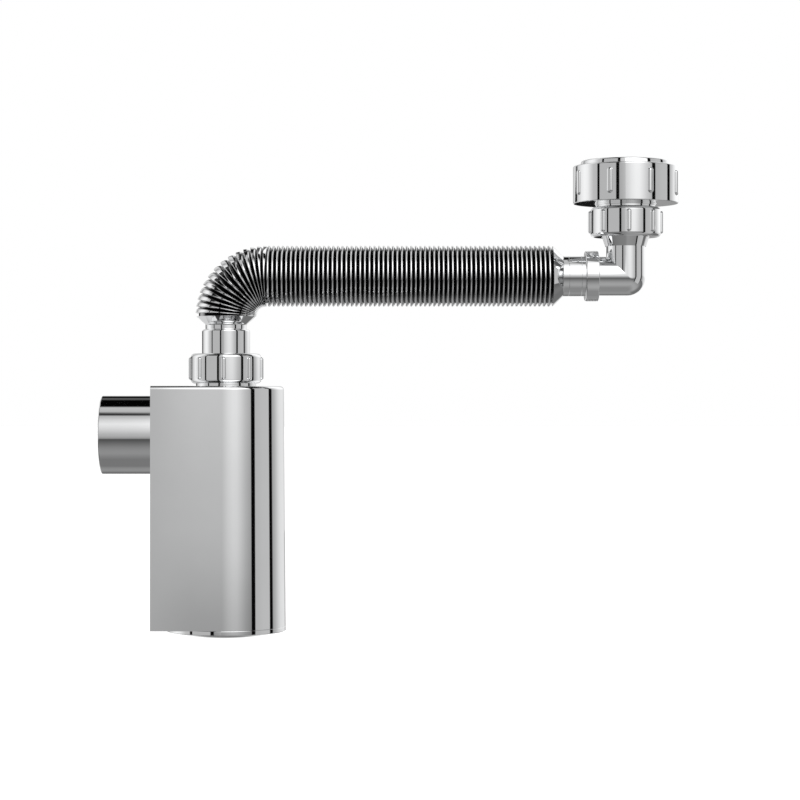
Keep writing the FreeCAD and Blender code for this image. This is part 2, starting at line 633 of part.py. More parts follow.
def makeSlipRing(label, x, z, pipeRadius, threadRadius):
    """A thin flat ring between a union nut's floor and its seal."""
    ring = newBody(label, x=x, z=z)
    turned(ring, "FlatRing", [
        (f"{pipeRadius} + seatGap", "0"),
        (f"{threadRadius} + seatGap - softGap", "0"),
        (f"{threadRadius} + seatGap - softGap", "slipRingHeight"),
        (f"{pipeRadius} + seatGap", "slipRingHeight"),
    ])
    return ring


def makeConeSeal(label, x, z, pipeRadius, bore, threadRadius, upright):
    """A rubber ring whose cone enters the mouth of a neck, with its rim outside."""
    reach = "(neckChamfer - softGap)"
    if upright:
        seal = newBody(label, x=x, z=z)
    else:
        seal = newBody(label, x=x, z=z, axis=FreeCAD.Vector(1, 0, 0), turn="180")
    turned(seal, "ConeRing", [
        (f"{pipeRadius} + seatGap", f"-{reach}"),
        (f"{bore} - seatGap", f"-{reach}"),
        (f"{bore} - seatGap + {reach}", "0"),
        (f"{threadRadius} + seatGap - softGap", "0"),
        (f"{threadRadius} + seatGap - softGap", "sealRimHeight"),
        (f"{pipeRadius} + seatGap", "sealRimHeight"),
    ])
    return seal


# Inlet union on the housing's neck.
inletSealFoot = f"({neckMouth} + softGap)"
inletSlipFoot = f"{inletSealFoot} + sealRimHeight + seatGap"
makeConeSeal("inlet_seal", "bodyCentre", inletSealFoot, "cuffRadius", "neckBore", "neckRadius", True)
makeSlipRing("inlet_slip_ring", "bodyCentre", inletSlipFoot, "cuffRadius", "neckRadius")
makeUnion("inlet_nut", "bodyCentre", "bodyRise + unionClearance", "cuffRadius", "neckRadius", True)

# Lower tail of the hose: a cuff that stands in the neck, a narrow neck and a cone.
lowerTail = newBody("lower_hose_tail", x="bodyCentre", z=tailFoot)
cuffHeight = f"(cuffTop - {tailFoot})"
coneFoot = f"(tailNeckTop - {tailFoot})"
coneTop = f"(bellowsFoot - {tailFoot})"
lowerTurned = turned(lowerTail, "Tail", [
    ("cuffRadius - tailWall", "0"),
    ("cuffRadius", "0"),
    ("cuffRadius", cuffHeight),
    ("tailNeckRadius", cuffHeight),
    ("tailNeckRadius", coneFoot),
    ("lowerConeRadius", coneTop),
    ("lowerConeRadius - tailWall", coneTop),
    ("tailNeckRadius - tailWall", coneFoot),
    ("tailNeckRadius - tailWall", f"{cuffHeight} - tailWall"),
    ("cuffRadius - tailWall", f"{cuffHeight} - tailWall"),
])
roundedRims(lowerTail, "Shoulder", lowerTurned, [("cuffRadius", cuffHeight)], "cuffEdge")

# Bellows: crests along a quarter bend and a straight run. Each crest is an edge with
# a steep face towards the inlet and a long face towards the elbow, on polygonal rings
# so that the many folds stay light. The bore is plain.
ringSides = int(amount("bellowsSides"))
bendRadius = amount("hoseHeight - bellowsFoot")
bendLength = bendRadius * math.pi / 2
bendEnd = amount("bodyCentre") + bendRadius
bendFolds = int(amount("bendFolds"))
runFolds = int(amount("runFolds"))
runPitch = (amount("hoseEnd") - bendEnd) / (runFolds + amount("runLead"))


def crestStation(fold):
    """Distance along the centre line of crest number fold, counted from 1."""
    if fold <= bendFolds:
        share = (fold - 1 + amount("bendLead")) / bendFolds
        turn = share - amount("bendSpread") * math.sin(2 * math.pi * share) / (2 * math.pi)
        return bendLength * turn
    return bendLength + runPitch * (fold - bendFolds - 1 + amount("runLead"))


def ringPoints(station, radius):
    """A polygonal ring across the centre line."""
    angle = min(station, bendLength) / bendRadius
    run = max(station - bendLength, 0)
    centre = FreeCAD.Vector(
        bendEnd - bendRadius * math.cos(angle) + run,
        0,
        amount("bellowsFoot") + bendRadius * math.sin(angle),
    )
    outward = FreeCAD.Vector(-math.cos(angle), 0, math.sin(angle))
    points = []
    for side in range(ringSides):
        around = 2 * math.pi * side / ringSides
        points.append(
            centre + outward * (radius * math.cos(around)) + FreeCAD.Vector(0, radius * math.sin(around), 0)
        )
    return points


def bandFaces(first, second, curved):
    """Faces between two rings: flat quads, or triangles where the rings aren't parallel."""
    faces = []
    for side in range(ringSides):
        after = (side + 1) % ringSides
        corners = [first[side], first[after], second[after], second[side]]
        if curved:
            faces.append(Part.Face(Part.makePolygon([corners[0], corners[1], corners[2], corners[0]])))
            faces.append(Part.Face(Part.makePolygon([corners[0], corners[2], corners[3], corners[0]])))
        else:
            faces.append(Part.Face(Part.makePolygon(corners + [corners[0]])))
    return faces


def makeBellows():
    """The bellows' closed solid."""
    crest = amount("bellowsCrest")
    root = amount("bellowsRoot")
    bore = amount("bellowsBore")
    lastStation = bendLength + amount("hoseEnd") - bendEnd
    stations = [(0, root)]
    before = 0
    for fold in range(1, bendFolds + runFolds + 1):
        here = crestStation(fold)
        stations.append((here - amount("valleyLead") * (here - before), root))
        stations.append((here, crest))
        before = here
    stations.append((lastStation, root))
    faces = []
    for (start, startRadius), (end, endRadius) in zip(stations, stations[1:]):
        faces += bandFaces(ringPoints(start, startRadius), ringPoints(end, endRadius), start < bendLength)
    boreStations = [bendLength * step / bendFolds for step in range(bendFolds + 1)] + [lastStation]
    for start, end in zip(boreStations, boreStations[1:]):
        faces += bandFaces(ringPoints(end, bore), ringPoints(start, bore), start < bendLength - tolerance)
    for station in (0, lastStation):
        outline = ringPoints(station, root)
        hole = ringPoints(station, bore)
        wires = [Part.makePolygon(ring + [ring[0]]) for ring in (outline, hole)]
        faces.append(Part.Face(wires))
    shell = Part.Shell(faces)
    shell.sewShape()
    solid = Part.Solid(shell)
    solid.fix(sewing, sewing, sewing)
    return solid


bellows = document.addObject("Part::Feature", "bellows_hose")
bellows.Label = "bellows_hose"
bellows.Shape = makeBellows()
bellows.Placement = FreeCAD.Placement()

# Upper tail: a cone, a cuff and a wide mouth that takes the elbow's flange.
upperTail = newBody("upper_hose_tail", x="hoseEnd", z="hoseHeight", axis=FreeCAD.Vector(0, 1, 0), turn="90")
turned(upperTail, "Tail", [
    ("upperConeRadius - tailWall", "0"),
    ("upperConeRadius", "0"),
    ("upperCuffRadius", "upperConeLength"),
    ("upperCuffRadius", "upperCuffEnd + collarLip + seatGap - hoseEnd"),
    (beadRadius, "upperCuffEnd + collarLip + seatGap - hoseEnd"),
    (beadRadius, f"{beadEnd} - hoseEnd"),
    (beadBore, f"{beadEnd} - hoseEnd"),
    (beadBore, f"{elbowFlangeStart} - seatGap - hoseEnd"),
    ("socketBore", f"{elbowFlangeStart} - seatGap - hoseEnd"),
    ("socketBore", "upperConeLength"),
])

# Collar: snaps over the mouth's bead and holds the elbow's flange.
collarBack = f"({beadEnd} + seatGap - {collarStart})"
collar = newBody("retaining_collar", x=collarStart, z="hoseHeight", axis=FreeCAD.Vector(0, 1, 0), turn="90")
collarTurned = turned(collar, "Collar", [
    ("upperCuffRadius + seatGap", "0"),
    ("collarRadius", "0"),
    ("collarRadius", "collarLength"),
    ("elbowRadius + 2 * seatGap", "collarLength"),
    ("elbowRadius + 2 * seatGap", collarBack),
    ("collarRadius - collarWall", collarBack),
    ("collarRadius - collarWall", "collarLip"),
    ("upperCuffRadius + seatGap", "collarLip"),
])
roundedRims(
    collar, "Edges", collarTurned, [("collarRadius", "0"), ("collarRadius", "collarLength")], "collarEdge"
)

# Elbow: a level leg with nose and flange, an upright leg with a flare, a mitre with
# its outer corner rounded, and a bore that follows them. Its frame is where the
# two axes meet. The legs are turned pieces that run to that point.
elbowCut = document.addObject("Part::Cut", "elbow")
legReach = f"(elbowAxis - {elbowFlangeStart} + noseLength)"
flangeBack = f"({legReach} - noseLength)"
flangeFace = f"({flangeBack} - elbowFlange)"
nearGroove = f"({flangeBack} + noseLead)"
farGroove = f"({nearGroove} + noseRingPitch)"


def toLeg(body):
    """Turns a body so that its Z axis runs along the level leg, away from the corner."""
    body.Placement = FreeCAD.Placement(
        FreeCAD.Vector(), FreeCAD.Rotation(FreeCAD.Vector(0, 1, 0), -90)
    )


levelLeg = newBody("level_leg")
toLeg(levelLeg)
turned(levelLeg, "Leg", [
    ("0", "0"),
    ("elbowRadius", "0"),
    ("elbowRadius", flangeFace),
    (f"{beadBore} - seatGap", flangeFace),
    (f"{beadBore} - seatGap", flangeBack),
    ("noseRadius", flangeBack),
    ("noseRadius", nearGroove),
    ("noseRadius - noseGroove", nearGroove),
    ("noseRadius - noseGroove", f"{nearGroove} + noseGrooveWidth"),
    ("noseRadius", f"{nearGroove} + noseGrooveWidth"),
    ("noseRadius", farGroove),
    ("noseRadius - noseGroove", farGroove),
    ("noseRadius - noseGroove", f"{farGroove} + noseGrooveWidth"),
    ("noseRadius", f"{farGroove} + noseGrooveWidth"),
    ("noseRadius", legReach),
    ("0", legReach),
])
uprightLeg = newBody("upright_leg")
turned(uprightLeg, "Leg", [
    ("0", "0"),
    ("elbowRadius", "0"),
    ("elbowRadius", "flareFoot - hoseHeight"),
    ("flareFootRadius", "flareFoot - hoseHeight"),
    ("risePipeRadius", "elbowNutFoot - hoseHeight"),
    ("risePipeRadius", "risePipeTop - hoseHeight"),
    ("0", "risePipeTop - hoseHeight"),
])
levelBore = newBody("level_bore")
toLeg(levelBore)
turned(levelBore, "Bore", [
    ("0", "0"),
    ("elbowRadius - elbowWall", "0"),
    ("elbowRadius - elbowWall", flangeFace),
    ("noseBore", flangeBack),
    ("noseBore", f"{legReach} + cutMargin"),
    ("0", f"{legReach} + cutMargin"),
])
uprightBore = newBody("upright_bore")
turned(uprightBore, "Bore", [
    ("0", "0"),
    ("elbowRadius - elbowWall", "0"),
    ("elbowRadius - elbowWall", "flareFoot - hoseHeight"),
    ("risePipeRadius - elbowWall", "elbowNutFoot - hoseHeight"),
    ("risePipeRadius - elbowWall", "risePipeTop - hoseHeight + cutMargin"),
    ("0", "risePipeTop - hoseHeight + cutMargin"),
])


def makeCorner(name, radius, corner):
    """The part that two crossing cylinders share, with its outer edge rounded."""
    level = document.addObject("Part::Cylinder", name + "Level")
    upright = document.addObject("Part::Cylinder", name + "Upright")
    for cylinder in (level, upright):
        cylinder.setExpression("Radius", bound(radius))
        cylinder.setExpression("Height", bound(f"2 * ({radius})"))
    level.Placement.Rotation = FreeCAD.Rotation(FreeCAD.Vector(0, 1, 0), 90)
    level.setExpression("Placement.Base.x", bound(f"-({radius})"))
    upright.setExpression("Placement.Base.z", bound(f"-({radius})"))
    block = document.addObject("Part::Box", name + "Block")
    for side, place in (("Length", "x"), ("Width", "y"), ("Height", "z")):
        block.setExpression(side, bound(f"2 * ({radius})"))
        block.setExpression(f"Placement.Base.{place}", bound(f"-({radius})"))
    document.recompute()
    reach = amount(radius)
    edge = next(
        index for index, item in enumerate(block.Shape.Edges, start=1)
        if (item.CenterOfMass - FreeCAD.Vector(reach, 0, -reach)).Length < tolerance
    )
    softBlock = document.addObject("Part::Fillet", name + "SoftBlock")
    softBlock.Base = block
    softBlock.Edges = [(edge, amount(corner), amount(corner))]
    shared = document.addObject("Part::MultiCommon", name)
    shared.Shapes = [level, upright, softBlock]
    document.recompute()
    return shared


outerCorner = makeCorner("OuterCorner", "elbowRadius", "elbowCorner")
innerCorner = makeCorner("InnerCorner", "elbowRadius - elbowWall", "elbowCorner - elbowWall")
elbowOutside = document.addObject("Part::MultiFuse", "ElbowOutside")
elbowOutside.Shapes = [levelLeg, uprightLeg, outerCorner]
elbowInside = document.addObject("Part::MultiFuse", "ElbowInside")
elbowInside.Shapes = [levelBore, uprightBore, innerCorner]
elbowCut.Label = "elbow"
elbowCut.Base = elbowOutside
elbowCut.Tool = elbowInside
elbowCut.setExpression("Placement.Base.x", bound("elbowAxis"))
elbowCut.setExpression("Placement.Base.z", bound("hoseHeight"))

# Two rings on the elbow's nose.
ringMiddle = "noseRadius - noseGroove + noseRingGap + noseRingSection"
noseRings = []
for name, groove in (("NearRing", nearGroove), ("FarRing", farGroove)):
    ring = document.addObject("Part::Torus", name)
    ring.setExpression("Radius1", bound(ringMiddle))
    ring.setExpression("Radius2", bound("noseRingSection"))
    ring.Placement.Rotation = FreeCAD.Rotation(FreeCAD.Vector(0, 1, 0), 90)
    ring.setExpression("Placement.Base.x", bound(f"elbowAxis - {groove} - noseGrooveWidth / 2"))
    ring.setExpression("Placement.Base.z", bound("hoseHeight"))
    noseRings.append(ring)
elbowRings = document.addObject("Part::Compound", "elbow_o_rings")
elbowRings.Label = "elbow_o_rings"
elbowRings.Links = noseRings

# Elbow union under the adapter.
elbowSlipFoot = "(elbowNutFoot + unionFloor + seatGap)"
makeSlipRing("elbow_slip_ring", "elbowAxis", elbowSlipFoot, "risePipeRadius", "adapterRadius")
makeConeSeal(
    "elbow_seal", "elbowAxis", f"{adapterFoot} - softGap", "risePipeRadius", "adapterBore",
    "adapterRadius", False,
)
makeUnion("elbow_nut", "elbowAxis", "elbowNutFoot", "risePipeRadius", "adapterRadius", False)

# Adapter: a threaded end, a step, a collar in the waste nut's floor and a flange.
adapter = newBody("adapter", x="elbowAxis", z=adapterFoot)
turned(adapter, "Adapter", [
    ("adapterBore + neckChamfer", "0"),
    ("adapterRadius", "0"),
    ("adapterRadius", f"adapterStep - {adapterFoot}"),
    ("adapterCollar", f"adapterStep - {adapterFoot}"),
    ("adapterCollar", f"{flangeSeat} - {adapterFoot}"),
    ("adapterFlangeRadius", f"{flangeSeat} - {adapterFoot}"),
    ("adapterFlangeRadius", f"{flangeSeat} + adapterFlange - {adapterFoot}"),
    ("adapterMouth", f"{flangeSeat} + adapterFlange - {adapterFoot}"),
    ("adapterStopBore", f"adapterStep - {adapterFoot}"),
    ("adapterStopBore", f"adapterStop - {adapterFoot}"),
    ("adapterBore", f"adapterStop - {adapterFoot}"),
    ("adapterBore", "neckChamfer"),
])
gasket = newBody("waste_gasket", x="elbowAxis", z=f"{flangeSeat} + adapterFlange")
turned(gasket, "FlatRing", [
    ("adapterMouth", "0"),
    ("adapterFlangeRadius", "0"),
    ("adapterFlangeRadius", "wasteGasket"),
    ("adapterMouth", "wasteGasket"),
])

# Waste nut: a floor that runs on the adapter's collar, ribs and a smaller rim on top.
wasteNut = newBody(
    "waste_nut", x="elbowAxis", z="wasteNutFoot", axis=FreeCAD.Vector(0, 0, 1), turn="wasteRibPhase"
)
nutTop = "(wasteNutHeight + wasteRimHeight)"
wasteTurned = turned(wasteNut, "Barrel", [
    ("adapterCollar + seatGap", "0"),
    ("wasteNutRadius", "0"),
    ("wasteNutRadius", "wasteNutHeight"),
    ("wasteRimRadius", "wasteNutHeight"),
    ("wasteRimRadius", nutTop),
    ("wasteNutBore + wasteMouthChamfer", nutTop),
    ("wasteNutBore", f"{nutTop} - wasteMouthChamfer"),
    ("wasteNutBore", "wasteReliefTop"),
    ("wasteNutBore + wasteRelief", "wasteReliefTop"),
    ("wasteNutBore + wasteRelief", "wasteNutFloor"),
    ("adapterCollar + seatGap", "wasteNutFloor"),
])
roundedRims(
    wasteNut, "Edges", wasteTurned, [("wasteNutRadius", "wasteNutHeight"), ("wasteRimRadius", nutTop)],
    "wasteNutEdge",
)
wasteRibs = addRibs(
    wasteNut, "wasteNutRadius", "wasteRibRadius", "wasteRibWidth", "wasteRibLength", "wasteRibFoot",
    "wasteRibs",
)
wasteRibEdges = ribEdges(wasteRibs.Shape, amount("wasteRibRadius"), amount("wasteRibs"))
rounded(wasteNut, "RibEdges", wasteRibs, wasteRibEdges, "ribEdge")

subparts = [
    "outlet_pipe", "outlet_seal", "trap_housing", "dip_tube", "dip_tube_gasket", "cleaning_cap",
    "cap_o_ring", "inlet_seal", "inlet_slip_ring", "inlet_nut", "lower_hose_tail", "bellows_hose",
    "upper_hose_tail", "retaining_collar", "elbow", "elbow_o_rings", "elbow_slip_ring", "elbow_seal",
    "elbow_nut", "adapter", "waste_gasket", "waste_nut",
]

document.recompute()
for item in document.Objects:
    if "Invalid" in item.State or "Error" in item.State:
        raise RuntimeError(f"{item.Label} failed: {item.State}")

os.makedirs("parts", exist_ok=True)
for label in subparts:
    piece = document.getObjectsByLabel(label)[0]
    if piece.Shape.isNull() or not piece.Shape.isValid():
        raise RuntimeError(f"{label} has no valid shape")
    piece.Shape.exportStep(f"parts/{label}.step")
    box = piece.Shape.BoundBox
    print(
        f"{label}: {len(piece.Shape.Solids)} solid, {piece.Shape.Volume:.0f} mm3, "
        f"X {box.XMin:.2f} to {box.XMax:.2f}, Z {box.ZMin:.2f} to {box.ZMax:.2f}"
    )
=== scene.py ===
import math
import bpy
import bmesh
from mathutils import Matrix, Vector
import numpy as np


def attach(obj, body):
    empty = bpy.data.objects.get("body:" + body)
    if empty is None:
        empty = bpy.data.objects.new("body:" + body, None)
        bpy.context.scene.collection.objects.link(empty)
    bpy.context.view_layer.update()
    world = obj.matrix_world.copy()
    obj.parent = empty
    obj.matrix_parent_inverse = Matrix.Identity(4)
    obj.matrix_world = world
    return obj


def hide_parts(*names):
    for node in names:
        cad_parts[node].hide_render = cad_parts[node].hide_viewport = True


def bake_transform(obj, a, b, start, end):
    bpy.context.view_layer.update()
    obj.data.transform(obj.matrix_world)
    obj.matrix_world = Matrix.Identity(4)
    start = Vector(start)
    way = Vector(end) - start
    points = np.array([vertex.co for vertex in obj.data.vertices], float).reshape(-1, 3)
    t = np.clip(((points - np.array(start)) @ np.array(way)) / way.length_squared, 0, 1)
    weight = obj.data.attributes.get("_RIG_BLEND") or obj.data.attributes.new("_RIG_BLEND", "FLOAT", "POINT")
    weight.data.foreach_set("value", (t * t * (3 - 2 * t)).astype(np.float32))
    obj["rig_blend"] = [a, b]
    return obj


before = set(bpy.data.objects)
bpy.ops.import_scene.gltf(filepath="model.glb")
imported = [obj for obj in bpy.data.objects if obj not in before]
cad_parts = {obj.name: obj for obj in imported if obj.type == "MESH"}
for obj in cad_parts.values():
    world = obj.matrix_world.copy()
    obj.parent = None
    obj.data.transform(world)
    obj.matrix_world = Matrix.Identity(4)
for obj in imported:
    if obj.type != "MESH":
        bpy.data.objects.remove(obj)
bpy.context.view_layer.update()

mm = 0.001
tiny = 1e-6  # in millimetres, for telling places apart
mergeGap = 0.002  # in millimetres, for merging the doubles of a spin
fullTurn = 2 * math.pi

# Axes that several pieces share, in millimetres.
trapAxis = 44.8
hoseAxis = 101.6
elbowAxis = 300.5


# Shader graphs are written as expressions on wires.
class Wire:
    # A socket with arithmetic: an expression on wires adds the Math nodes.
    def __init__(self, graph, socket):
        self.graph = graph
        self.socket = socket

    def __add__(self, other):
        return self.graph.maths("ADD", self, other)

    def __radd__(self, other):
        return self.graph.maths("ADD", other, self)

    def __sub__(self, other):
        return self.graph.maths("SUBTRACT", self, other)

    def __rsub__(self, other):
        return self.graph.maths("SUBTRACT", other, self)

    def __mul__(self, other):
        return self.graph.maths("MULTIPLY", self, other)

    def __rmul__(self, other):
        return self.graph.maths("MULTIPLY", other, self)

    def __truediv__(self, other):
        return self.graph.maths("DIVIDE", self, other)

    def __gt__(self, other):
        return self.graph.maths("GREATER_THAN", self, other)

    def __lt__(self, other):
        return self.graph.maths("LESS_THAN", self, other)


class Graph:
    def __init__(self, owner):
        owner.use_nodes = True
        self.tree = owner.node_tree
        self.tree.nodes.clear()

    def node(self, kind, settings=None, sockets=None, output=0):
        item = self.tree.nodes.new(kind)
        for key, value in (settings or {}).items():
            if key == "stops":
                self.fillRamp(item.color_ramp, value)
            else:
                setattr(item, key, value)
        for key, value in (sockets or {}).items():
            if isinstance(value, Wire):
                self.tree.links.new(value.socket, item.inputs[key])
            else:
                item.inputs[key].default_value = value
        self.last = item
        return Wire(self, item.outputs[output]) if item.outputs else item

    def maths(self, operation, *values):
        return self.node("ShaderNodeMath", {"operation": operation}, dict(enumerate(values)))

    def fillRamp(self, ramp, stops):
        while len(ramp.elements) < len(stops):
            ramp.elements.new(1.0)
        for element, (place, shade) in zip(ramp.elements, stops):
            element.position = place
            element.color = grey(shade)

    def mixColour(self, factor, first, second):
        return self.node(
            "ShaderNodeMix", {"data_type": "RGBA"}, {0: factor, 6: first, 7: second}, output=2
        )

    def noise(self, place, scale, detail=2.0):
        return self.node("ShaderNodeTexNoise", {}, {"Vector": place, "Scale": scale, "Detail": detail})

    def ramp(self, value, stops):
        return self.node("ShaderNodeValToRGB", {"stops": stops}, {0: value})

    def splitRamp(self, value, stops):
        # A ramp holds 32 stops, so a longer one is made of two that meet at the middle stop.
        middle = len(stops) // 2
        meeting = stops[middle][0]
        low = self.ramp(value, stops[:middle + 1])
        high = self.ramp(value, stops[middle:])
        return self.mixColour(value > meeting, low, high)


def grey(tone):
    return (tone, tone, tone, 1)


def linear(shade):
    # A display value from 0 to 255 as linear light.
    share = shade / 255
    return share / 12.92 if share < 0.04045 else ((share + 0.055) / 1.055) ** 2.4


# Chrome for the plated pieces, plastic and rubber for the rest.
def makeFinish(name, look):
    # Two shades and an uneven gloss mottled by one noise, a faint relief by another, and painted shade that
    # darkens the valleys of folds.
    material = bpy.data.materials.new(name)
    graph = Graph(material)
    place = graph.node("ShaderNodeTexCoord", output=3)
    mottle = graph.noise(place, look["mottleScale"], look["mottleDetail"])
    relief = graph.noise(place, look["reliefScale"], look["reliefDetail"])
    colour = graph.mixColour(mottle, look["colour"], look["mottleColour"])
    # Painted shade: where the look gives one, the fold attribute mixes in a near-black colour standing in for
    # the dark that the valleys reflect.
    if "paintedValleyShade" in look:
        depth = graph.node("ShaderNodeAttribute", {"attribute_name": "foldShade"}, output=2)
        colour = graph.mixColour(depth, colour, look["paintedValleyShade"])
    bump = graph.node("ShaderNodeBump", {}, {
        "Strength": look["reliefStrength"], "Distance": look["reliefDepth"], "Height": relief,
    })
    surface = graph.node("ShaderNodeBsdfPrincipled", {}, {
        "Base Color": colour, "Roughness": mottle * look["roughnessSpread"] + look["roughness"],
        "Metallic": look["metallic"], "Normal": bump,
    })
    graph.node("ShaderNodeOutputMaterial", {}, {"Surface": surface})
    return material


chromeLook = {
    "colour": (0.90, 0.905, 0.91, 1), "mottleColour": (0.86, 0.865, 0.87, 1), "mottleScale": 60.0,
    "mottleDetail": 3.0, "reliefScale": 45.0, "reliefDetail": 1.0, "reliefStrength": 0.02,
    "reliefDepth": 0.0002, "roughness": 0.02, "roughnessSpread": 0.03, "metallic": 1.0,
}
polymerLook = {"mottleDetail": 4.0, "reliefDetail": 2.0, "reliefDepth": 0.0001, "metallic": 0.0}
finishes = {
    "chrome_shell": makeFinish("shellChrome", chromeLook),
    "chrome_pipe": makeFinish("pipeChrome", {**chromeLook, "mottleScale": 90.0}),
    "chrome_nut": makeFinish("nutChrome", {**chromeLook, "reliefScale": 80.0, "roughness": 0.025}),
    # The bellows' plating, with near-black painted shade in the valleys of its folds.
    "chrome_bellows": makeFinish("bellowsChrome", {
        **chromeLook, "roughness": 0.05, "paintedValleyShade": (0.004, 0.004, 0.0045, 1), "reliefScale": 120.0,
    }),
    "pale_plastic": makeFinish("palePlastic", {
        **polymerLook, "colour": (0.80, 0.80, 0.78, 1), "mottleColour": (0.72, 0.72, 0.69, 1),
        "mottleScale": 140.0, "reliefScale": 1500.0, "reliefStrength": 0.15, "roughness": 0.36,
        "roughnessSpread": 0.12,
    }),
    "black_rubber": makeFinish("blackRubber", {
        **polymerLook, "colour": (0.018, 0.018, 0.019, 1), "mottleColour": (0.035, 0.035, 0.036, 1),
        "mottleScale": 220.0, "reliefScale": 2200.0, "reliefStrength": 0.3, "roughness": 0.55,
        "roughnessSpread": 0.2,
    }),
}
print("materials ready")


# Tools that several pieces share.
directions = {
    "up": Matrix.Identity(4),
    "down": Matrix.Rotation(math.pi, 4, "X"),
    "right": Matrix.Rotation(math.pi / 2, 4, "Y"),
    "left": Matrix.Rotation(-math.pi / 2, 4, "Y"),
}


def softStep(value, start, end):
    # 0 at the start and 1 at the end, soft at both; the end may be the lower one.
    held = min(max((value - start) / (end - start), 0), 1)
    return held * held * (3 - 2 * held)


def closeLoop(bm, verts):
    for first, second in zip(verts, verts[1:] + verts[:1]):
        bm.edges.new((first, second))


def named(look, points):
    # Points in which a name stands for that value of the piece's dictionary.
    return [tuple(look.get(value, value) for value in point) for point in points]


def addObject(name, data):
    item = bpy.data.objects.new(name, data)
    bpy.context.scene.collection.objects.link(item)
    return item


def wholeOf(bm):
    return bm.verts[:] + bm.edges[:] + bm.faces[:]


def turnAbout(bm, verts, angle):
    bmesh.ops.rotate(bm, verts=verts, cent=(0, 0, 0), matrix=Matrix.Rotation(angle, 3, "Z"))


def spinAbout(bm, geom, angle, steps, climb=0.0, merge=False, copies=False):
    return bmesh.ops.spin(
        bm, geom=geom, cent=(0, 0, 0), axis=(0, 0, 1), dvec=(0, 0, climb), angle=angle, steps=steps,
        use_merge=merge, use_normal_flip=False, use_duplicate=copies,
    )


def spinAll(bm, steps):
    spinAbout(bm, wholeOf(bm), fullTurn, steps, merge=True)
    bmesh.ops.remove_doubles(bm, verts=bm.verts, dist=mergeGap)
    bmesh.ops.recalc_face_normals(bm, faces=bm.faces)


def turnedMesh(corners, steps=144, roundSegments=5):
    # Spins a closed outline whose corners are (radius, height) or (radius, height, rounding).
    bm = bmesh.new()
    verts = [bm.verts.new((corner[0], 0, corner[1])) for corner in corners]
    closeLoop(bm, verts)
    for rounding in sorted({corner[2] for corner in corners if len(corner) == 3}):
        chosen = [vert for vert, corner in zip(verts, corners) if len(corner) == 3 and corner[2] == rounding]
        bmesh.ops.bevel(
            bm, geom=chosen, offset=rounding, offset_type="OFFSET", segments=roundSegments, profile=0.5,
            affect="VERTICES", material=-1,
        )
    spinAll(bm, steps)
    return bm


threadLook = {"root": 0.3, "half": 0.36, "crest": 0.12, "steps": 56, "depth": 0.6, "sunk": 0.02}


def threadMesh(look, radius, depth, start, inward=False):
    # A trapezoid ridge wound round the Z axis from the start on, its root held in the wall.
    bm = bmesh.new()
    pitch = look["threadPitch"]
    turns = look["threadTurns"]
    foot = start + look["threadFoot"]
    steps = threadLook["steps"]
    root = radius + threadLook["root"] if inward else radius - threadLook["root"]
    tip = radius - depth if inward else radius + depth
    half = pitch * threadLook["half"]
    crest = pitch * threadLook["crest"]
    corners = [(root, foot - half), (tip, foot - crest), (tip, foot + crest), (root, foot + half)]
    verts = [bm.verts.new((place, 0, height)) for place, height in corners]
    outline = bm.faces.new(verts).edges[:]
    grown = spinAbout(bm, verts + outline, fullTurn * turns, int(steps * turns), pitch / steps)
    last = [item for item in grown["geom_last"] if isinstance(item, bmesh.types.BMEdge)]
    bmesh.ops.contextual_create(bm, geom=last)
    bmesh.ops.recalc_face_normals(bm, faces=bm.faces)
    return bm


def outerThread(look, wall, start):
    # Its crest ends just under the wall's surface, where it can't reach into a nut.
    depth = threadLook["depth"]
    return threadMesh(look, wall - threadLook["sunk"] - depth, depth, start)


def ribMesh(look, foot, phase=0.0):
    # Round-ended grip ribs, each a closed pad that starts inside the wall.
    bm = bmesh.new()
    width = look["ribWidth"]
    count = look["ribs"]
    sunk = 0.8
    middle = foot + width / 2
    place = Matrix.Translation((look["radius"] - sunk, 0, middle)) @ directions["right"]
    bmesh.ops.create_circle(bm, cap_ends=True, segments=24, radius=width / 2, matrix=place)
    for vert in bm.verts:
        if vert.co.z > middle + tiny:
            vert.co.z += look["ribLength"] - width
    grown = bmesh.ops.extrude_face_region(bm, geom=bm.faces[:])
    top = [item for item in grown["geom"] if isinstance(item, bmesh.types.BMFace)]
    for vert in top[0].verts:
        vert.co.x += look["ribHeight"] + sunk
    bmesh.ops.bevel(
        bm, geom=top[0].edges[:], offset=width * 0.4, offset_type="OFFSET", segments=5, profile=0.5,
        affect="EDGES", clamp_overlap=True, material=-1,
    )
    turnAbout(bm, bm.verts, phase)
    spinAbout(bm, wholeOf(bm), fullTurn * (count - 1) / count, count - 1, copies=True)
    bmesh.ops.recalc_face_normals(bm, faces=bm.faces)
    return bm


def finishPiece(name, parts, node, body, slot, place=(0, 0, 0), direction="up", sharpAngle=34.0):
    # Joins the parts, puts them in place in metres, marks the sharp edges and hands the piece over.
    joined = bmesh.new()
    for part in parts:
        spare = bpy.data.meshes.new("spare")
        part.to_mesh(spare)
        part.free()
        joined.from_mesh(spare)
        bpy.data.meshes.remove(spare)
    bmesh.ops.transform(joined, verts=joined.verts, matrix=Matrix.Translation(place) @ directions[direction])
    bmesh.ops.scale(joined, vec=(mm, mm, mm), verts=joined.verts)
    limit = math.radians(sharpAngle)
    for face in joined.faces:
        face.smooth = True
    for edge in joined.edges:
        edge.smooth = len(edge.link_faces) == 2 and edge.calc_face_angle(0) < limit
    mesh = bpy.data.meshes.new(name)
    joined.to_mesh(mesh)
    joined.free()
    piece = addObject(name, mesh)
    mesh.materials.append(finishes[slot])
    shading = piece.modifiers.new("evenShading", "WEIGHTED_NORMAL")
    shading.keep_sharp = True
    if node:
        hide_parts(node)
    if body:
        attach(piece, body)
    return piece


